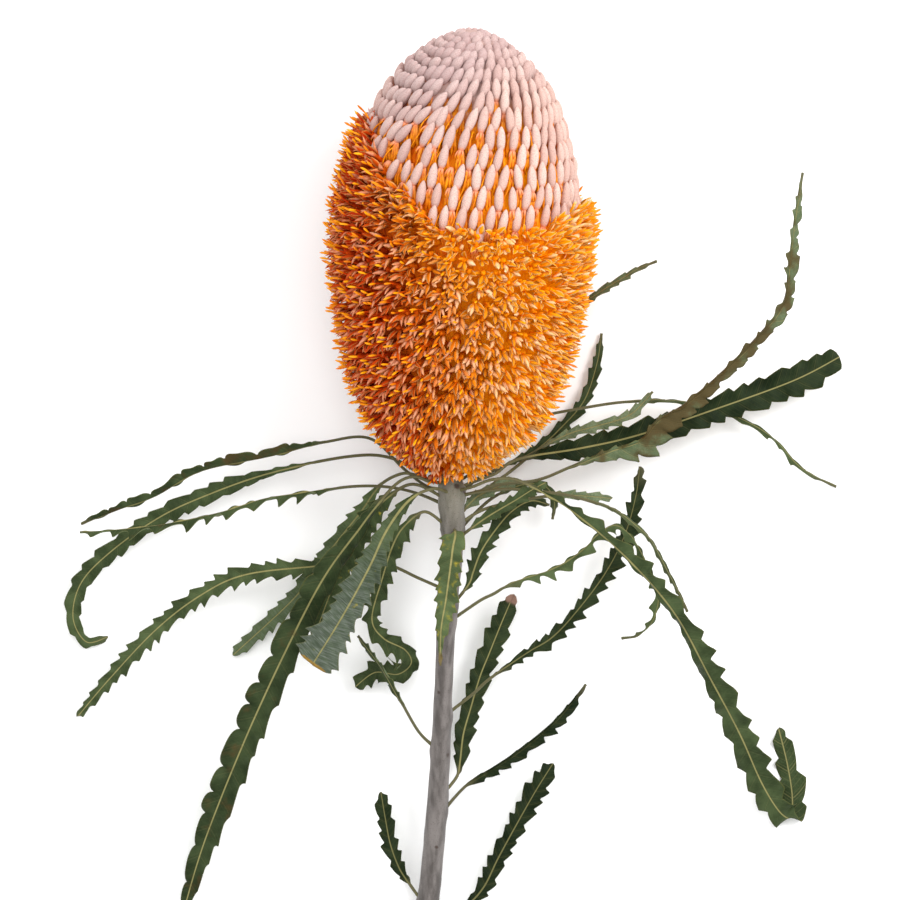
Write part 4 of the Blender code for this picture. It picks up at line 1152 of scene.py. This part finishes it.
for one in LEAVES.values():
    root_y, root_angle = one["root"]
    swelling += SWELLING * patch(root_y - 1, root_angle, *LEAF_BASE)
scar_mark = np.zeros_like(swelling)
for y, angle, size in SCARS:
    hollow = size * SCAR_HOLLOW
    rim_form = patch(y, angle, size, size) - SCAR_RIM * patch(y, angle, hollow, hollow)
    swelling += SWELLING * rim_form
    scar_mark += patch(y, angle, size * SCAR_DARK, size * SCAR_DARK)
ripple = 0.05 * np.sin(turns[None] * 5 + stem_y[:, None] * 0.21)
ripple += 0.04 * np.sin(turns[None] * 3 - stem_y[:, None] * 0.53)
stem_profile = np.stack((np.cos(turns), np.sin(turns)), axis=-1)
stem_reach = stem_radius[:, None] + np.minimum(swelling, MOST_SWELLING) + ripple
stem_rings = (stem_centre[:, None] + STEM_SIDE * (stem_reach * stem_profile[:, 0])[..., None]
              + STEM_UP * (stem_reach * stem_profile[:, 1])[..., None])[None]
stem_rings = press_on_table(stem_rings[:, :, ::-1], STEM_SOFTNESS)

# %% Finish of the stem
bark = Finish("downy_bark")
scar, height = bark.mark("scar"), bark.mark("height")
blotches = bark.noise(2.4, 4, (1, 0.22, 1))
specks = bark.noise(0.35, 3)
colour = bark.blend(bark.ease(blotches, 0.32, 0.68), (76, 71, 68), (116, 110, 107))
colour = bark.blend(bark.ease(height, 0.8, 1) * 0.5, colour, (124, 122, 100))
colour = bark.blend(bark.ease(specks, 0.55, 0.72) * 0.6, colour, (62, 54, 50))
colour = bark.blend(bark.ease(scar, 0.25, 0.8) * 0.85, colour, (58, 44, 36))
bark.surface({"Base Color": colour, "Roughness": 0.84,
              "Normal": bark.bump(specks + 0.5 * blotches, 0.14), "Sheen Weight": 0.25,
              "Specular IOR Level": 0.25})

stem = Piece(("scar", "height"))
stem.add(stem_rings, scar=scar_mark[None, :, ::-1],
         height=by_ring(np.linspace(1, 0, len(stem_y))))
stem.build("stem_bark", bark.material, "stem")

# %% [markdown]
# ## Leaves
#
# A banksia leaf is long, stiff and toothed like a saw, dark green and slightly glossy above with a
# cream midrib, and pale, matt and downy below. Its teeth point forwards, its edges wave, and every
# tooth has its own side vein. A flat outline filled with faces would lose the folds, so each leaf
# is a row of cross-sections along its midrib: the width follows the teeth, each half is folded at
# the midrib by its own angle, and the edge rises and falls with the teeth.
#
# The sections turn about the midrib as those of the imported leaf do, so the fine leaf lies where
# the solid lies.

# %% Turning of a blade about its midrib
TURN_STEP = 3.75
LEVELLING = 0.25
HEADING_REACH = 0.6


class Route:
    """A smooth curve through points, read by the distance along it."""

    def __init__(self, points):
        self.curve, self.distances = smooth_curve(points)
        self.length = self.distances[-1]

    def at(self, distance):
        return np.stack([np.interp(distance, self.distances, self.curve[:, axis])
                         for axis in range(3)], axis=-1)

    def heading(self, distance):
        return unit(self.at(distance + HEADING_REACH) - self.at(distance - HEADING_REACH))


def blade_directions(route, distance, turns):
    """For each distance the midrib's heading, the direction across the blade, and its face."""
    knots = np.arange(0, route.length + TURN_STEP, TURN_STEP)
    across, kept = None, []
    for heading in route.heading(np.minimum(knots, route.length)):
        level = np.cross(heading, (0, 0, 1))
        if across is None:
            across = unit(level)
        if level @ across < 0:
            level = -level
        steady = unit(across - heading * (across @ heading))
        across = unit(steady * LEVELLING + level * np.linalg.norm(level))
        across = unit(across - heading * (across @ heading))
        kept.append(across)
    kept = np.array(kept)
    across = np.stack([np.interp(distance, knots, kept[:, axis]) for axis in range(3)], axis=-1)
    heading = route.heading(distance)
    across = unit(across - heading * np.sum(across * heading, axis=-1, keepdims=True))
    turn = np.radians(np.interp(distance / route.length, (0, 0.5, 1), turns))
    side = turned(across, np.cross(across, heading), turn)
    return heading, side, np.cross(side, heading)


# %% Outline of a blade with its teeth
# A tooth's tip is at 0 and at 1 of its pitch. Just after a tip the edge drops back into a hollow,
# and then it rises slowly towards the next tip, so the teeth are sharp and point forwards.
HOLLOW = 0.3
GROWS_OVER = 0.3
SHRINKS_FROM = 0.75
LEAST_TOOTH, MOST_TOOTH = 0.55, 1.1


def blade_width(share, stalk_share, tip_share):
    """Width of the blade as a share of its widest, from its stalk (0) to its tip (1)."""
    along = held((share - stalk_share) / (1 - stalk_share))
    grow = np.minimum(1, along / GROWS_OVER)
    shrink = held((along - SHRINKS_FROM) / (1 - SHRINKS_FROM))
    return (grow * (2 - grow)) ** 0.8 * (1 - (1 - tip_share) * shrink ** 1.6)


def teeth(distance, pitch, lobes, blunt, order):
    """For each distance how far the tooth reaches (0 to 1) and the place in it."""
    place = distance / pitch + 0.2 * np.sin(distance / pitch * 1.7 + order)
    number = np.floor(place).astype(int)
    part = place - number
    fall = np.maximum(1 - part / HOLLOW, 0) ** (1.5 - 0.6 * blunt)
    rise = np.maximum((part - HOLLOW) / (1 - HOLLOW), 0) ** (1.2 - 0.7 * blunt)
    lobe = np.maximum(1 - np.abs(2 * part - 1) ** 3, 0) ** 0.6
    number -= number.min()
    sizes = chance.uniform(LEAST_TOOTH, MOST_TOOTH, number.max() + 2)
    before, after = sizes[number], sizes[number + 1]
    tooth = np.where(part < HOLLOW, fall * before, rise * after)
    return tooth * (1 - lobes) + lobe * lobes * after, part


# %% One leaf as a row of cross-sections
LEAF_STEP = 0.4
LEAF_THICKNESS = 0.42
STALK_HALF_WIDTH = 0.44
ROOT_INSIDE = 0.9
ACROSS = np.array((-1, -0.82, -0.5, -0.14, 0, 0.14, 0.5, 0.82, 1))
RIB_ABOVE = 0.14
RIB_BELOW = 0.4
WAVE_LENGTH = 17
WAVE_HEIGHT = 0.13
HOOK = 0.2
RIGHT_SHIFT = 0.43
END_LENGTH = 1.6
BLADE_OVER = 1.2
LEAST_HALF_WIDTH = 0.05
RIB_HALF_WIDTH = 0.5
STALK_FLARE = 0.7
FLARE_LENGTH = 2
LEAF_SOFTNESS = 0.5


def along_leaf(share, values):
    """Values given at even steps along a leaf, read at each share of its length."""
    return np.interp(share, np.linspace(0, 1, len(values)), values)


def leaf_points(look, order):
    """The rings of one leaf, with the marks that its finish needs."""
    pitch, lobed = look["pitch"], look["lobes"]
    centre, radius = stem_at(np.array(look["root"][0]))
    aim = turned(STEM_SIDE, STEM_UP, np.radians(look["root"][1]))
    route = Route([centre + aim * (radius - ROOT_INSIDE), *look["route"]])
    distance = np.linspace(0, route.length, int(route.length / LEAF_STEP))
    share = distance / route.length
    heading, side, face = blade_directions(route, distance, look["turns"])
    middle = route.at(distance)
    envelope = blade_width(share, look["stalk"], look["end"]) * look["half_width"]
    is_blade = held((envelope - STALK_HALF_WIDTH) / BLADE_OVER)
    blade_start = route.length * look["stalk"]
    end = held((route.length - distance) / END_LENGTH) ** 0.5

    widths, waves, hooks = [], [], []
    for half, shift, lobes, depth in (("left_half", 0, 0, look["depth"] * (1 - 0.5 * lobed)),
                                      ("right_half", RIGHT_SHIFT, lobed, look["depth"])):
        tooth, part = teeth(distance + shift * pitch, pitch, lobes, look["blunt"],
                            order + 5 * shift)
        width = envelope * along_leaf(share, look[half]) * (1 - depth * (1 - tooth))
        widths.append(np.maximum(width * end, STALK_HALF_WIDTH * (1 - is_blade)
                                 + LEAST_HALF_WIDTH))
        waves.append(-look["wave"] * np.cos(part * math.tau))
        hooks.append(pitch * HOOK * tooth * (1 - lobes) * (1 - 0.6 * look["blunt"]))
    on_left = ACROSS[None] < 0
    spread = np.abs(ACROSS)[None]
    blend = is_blade[:, None]
    width = np.where(on_left, widths[0][:, None], widths[1][:, None])
    wave = np.where(on_left, waves[0][:, None], waves[1][:, None]) * spread ** 2
    hook = np.where(on_left, hooks[0][:, None], hooks[1][:, None]) * spread ** 3
    fold = np.radians(np.where(on_left, along_leaf(share, look["left"])[:, None],
                               along_leaf(share, look["right"])[:, None])) * blend
    reach = ACROSS[None] * width
    long_wave = WAVE_HEIGHT * np.sin(distance * math.tau / WAVE_LENGTH)[:, None] * ACROSS[None]
    lift = np.abs(reach) * np.sin(fold) + (wave - envelope[:, None] * long_wave) * blend
    rib = np.exp(-(reach / RIB_HALF_WIDTH) ** 2)
    thin = LEAF_THICKNESS * 0.5 * (1 - 0.5 * spread ** 4)
    stalk = STALK_HALF_WIDTH * np.sqrt(np.maximum(1 - ACROSS ** 2, 0))[None]
    stalk = stalk * (1 + STALK_FLARE * np.exp(-distance / FLARE_LENGTH))[:, None]
    tip_thin = np.clip((1 - share) / 0.3, 0.35, 1)[:, None]
    above = blend * (thin + RIB_ABOVE * rib * tip_thin) + (1 - blend) * stalk
    below = blend * (thin + RIB_BELOW * rib * tip_thin) + (1 - blend) * stalk
    flat = (middle[:, None] + side[:, None] * (reach * np.cos(fold))[..., None]
            + heading[:, None] * (hook * blend)[..., None])
    top = flat + face[:, None] * (lift + above)[..., None]
    bottom = flat + face[:, None] * (lift - below)[..., None]
    rings = np.concatenate((top, bottom[:, ::-1]), axis=1)[None]
    marks = {
        "across": np.broadcast_to(np.concatenate((ACROSS, ACROSS[::-1])), rings.shape[:3]),
        "reach": np.concatenate((reach, reach[:, ::-1]), axis=1)[None],
        "upper": np.repeat((1, 0), len(ACROSS))[None, None],
        "distance": by_ring(distance - blade_start),
        "blade": by_ring(is_blade),
        "share": by_ring(share),
    }
    return press_on_table(rings, LEAF_SOFTNESS), marks


# %% [markdown]
# ### Finish of the leaves
#
# The marks give each point its place in the leaf: how far along it is, how far across, and on
# which face. From them the finish works out the midrib, the side veins that run to the teeth, the
# swelling between two veins, which is also darkened as painted shade, fine streaks across the
# blade, and the thin yellowish edge, at their real scale, so no picture has to be painted or
# unwrapped. Each leaf gets its own copy of the finish with its own greens, since some are dark,
# some grey and some show their pale undersides.

# %% Greens of the leaves
DARK_TOP = (12, 24, 8)
LIGHT_TOP = (98, 114, 74)
UNDERSIDE = (108, 120, 92)
UNDERSIDE_DEEP = (80, 94, 68)
RIB_CREAM = (142, 136, 88)
RIB_CREAM_BELOW = (140, 134, 88)
EDGE_YELLOW = (118, 112, 48)
DRY_BROWN = (74, 58, 32)
LEAF_YELLOW = (156, 142, 44)
# Painted highlight on the ripples of a silvery leaf end.
RIPPLE_HIGHLIGHT = (124, 130, 122)
SLATE = (72, 82, 70)
STALK_OLIVE = (94, 90, 66)
# Side veins run forwards by this share of their distance from the midrib.
VEIN_SLANT = 0.75


def between(share, first, second):
    """A colour between two colours, worked out here and not by a node."""
    return tuple(a + (b - a) * share for a, b in zip(as_light(first), as_light(second)))


def leaf_finish(name, look):
    """The finish of one leaf."""
    green = Finish(name)
    reach, across, distance = green.mark("reach"), green.mark("across"), green.mark("distance")
    blade, upper, share = green.mark("blade"), green.mark("upper"), green.mark("share")
    if look["up"] == "under":
        upper = 1 - upper
    pitch = look["pitch"]
    away = abs(reach)
    vein_line = distance - away * VEIN_SLANT
    from_vein = abs(vein_line % pitch - 0.5 * pitch)
    vein = green.ease(from_vein, 0.3, 0.06)
    swelling = green.ease(from_vein, 0, 0.5 * pitch)
    from_fine_vein = abs(vein_line % (pitch / 4) - pitch / 8)
    veins = vein.larger(green.ease(from_fine_vein, 0.2, 0.04) * 0.4)
    rib_half = (0.12 + 0.04 * look["half_width"]) * (1 - 0.5 * share)
    midrib = green.ease(away, rib_half + 0.12, rib_half - 0.08)
    mottle = green.noise(4.5, 4)
    cloud = green.noise(16, 2)
    grain = green.noise(0.5, 3)
    on_blade = green.node("ShaderNodeCombineXYZ", inputs={
        0: (distance + away * 0.3) * 2.4, 1: reach * 0.25})
    streaks = green.node("ShaderNodeTexNoise", inputs={
        "Vector": on_blade, "Scale": 1, "Detail": 4})
    top_green = between(look["light"], DARK_TOP, LIGHT_TOP)
    deep = between(0.45, top_green, DARK_TOP)
    paler = between(0.08 + 0.35 * look["light"], top_green, LIGHT_TOP)
    top = green.blend(green.ease(mottle * 0.5 + cloud * 0.5, 0.38, 0.62), deep, paler)
    top = green.blend(green.ease(streaks, 0.4, 0.75) * 0.3, top, paler)
    # Painted shade: the middle of each space between two side veins, away from the midrib, is
    # darkened as if the blade bulged there.
    top = green.blend(swelling * green.ease(away, 0.6, 2) * 0.35, top, deep)
    top = green.blend(veins * 0.14, top, between(0.5, top_green, RIB_CREAM))
    if look["silver"]:
        sheen = green.ease(share, 0.2, 0.85) * look["silver"]
        top = green.blend(sheen * 0.7, top, SLATE)
        # Painted highlight: pale streaks along the ripples of the silvery end.
        top = green.blend(sheen * green.ease(streaks, 0.35, 0.75) * 0.6, top, RIPPLE_HIGHLIGHT)
    if look["yellow"]:
        spots = green.ease(green.noise(2.2, 3), 0.7 - 0.25 * look["yellow"], 0.8)
        top = green.blend(spots * green.ease(abs(across), 0.1, 0.7), top, LEAF_YELLOW)
    top = green.blend(midrib * look["rib"], top, RIB_CREAM)
    below = green.blend(green.ease(grain * 0.5 + mottle * 0.5, 0.35, 0.65),
                        between(look["dark_below"], UNDERSIDE, deep),
                        between(look["dark_below"], UNDERSIDE_DEEP, top_green))
    below = green.blend(midrib.larger(veins * 0.4) * look["rib"], below, RIB_CREAM_BELOW)
    colour = green.blend(upper, below, top)
    edge = green.ease(abs(across), 0.9, 1) * blade
    colour = green.blend(edge * (0.25 + 0.5 * look["yellow"]) * look["rib"], colour, EDGE_YELLOW)
    if look["brown"]:
        dry_part = green.ease(share, 0.36, 0.44) * green.ease(share, 0.75, 0.6)
        withered = green.noise(6, 4) + dry_part * look["brown"] ** 3
        patches = green.ease(withered, 0.62 - 0.3 * look["brown"], 0.8 - 0.2 * look["brown"])
        colour = green.blend(patches * (0.6 + 0.4 * look["brown"]), colour, DRY_BROWN)
    if look["dried"]:
        *dry_colour, dries_from = look["dried"]
        dried = green.ease(share + 0.02 * green.noise(1.5, 3) - 0.01, dries_from, 1)
        colour = green.blend(green.ease(dried, 0, 0.4), colour, tuple(dry_colour))
    colour = green.blend((1 - blade) * 0.85, colour, STALK_OLIVE)
    relief = midrib * -0.5 - veins * 0.3 + grain * 0.2 + mottle * 0.5 + swelling * 0.9
    green.surface({"Base Color": colour, "Roughness": 0.62 - 0.14 * upper,
                   "Normal": green.bump(relief + streaks * (0.3 + 0.5 * look["silver"]), 0.3),
                   "Specular IOR Level": 0.06})
    return green.material


# %% Build every leaf
for order, (name, look) in enumerate(LEAVES.items()):
    rings, marks = leaf_points(look, order)
    blade = Piece(tuple(marks))
    blade.add(rings, **marks)
    blade.build(name + "_blade", leaf_finish(name + "_green", look), name)
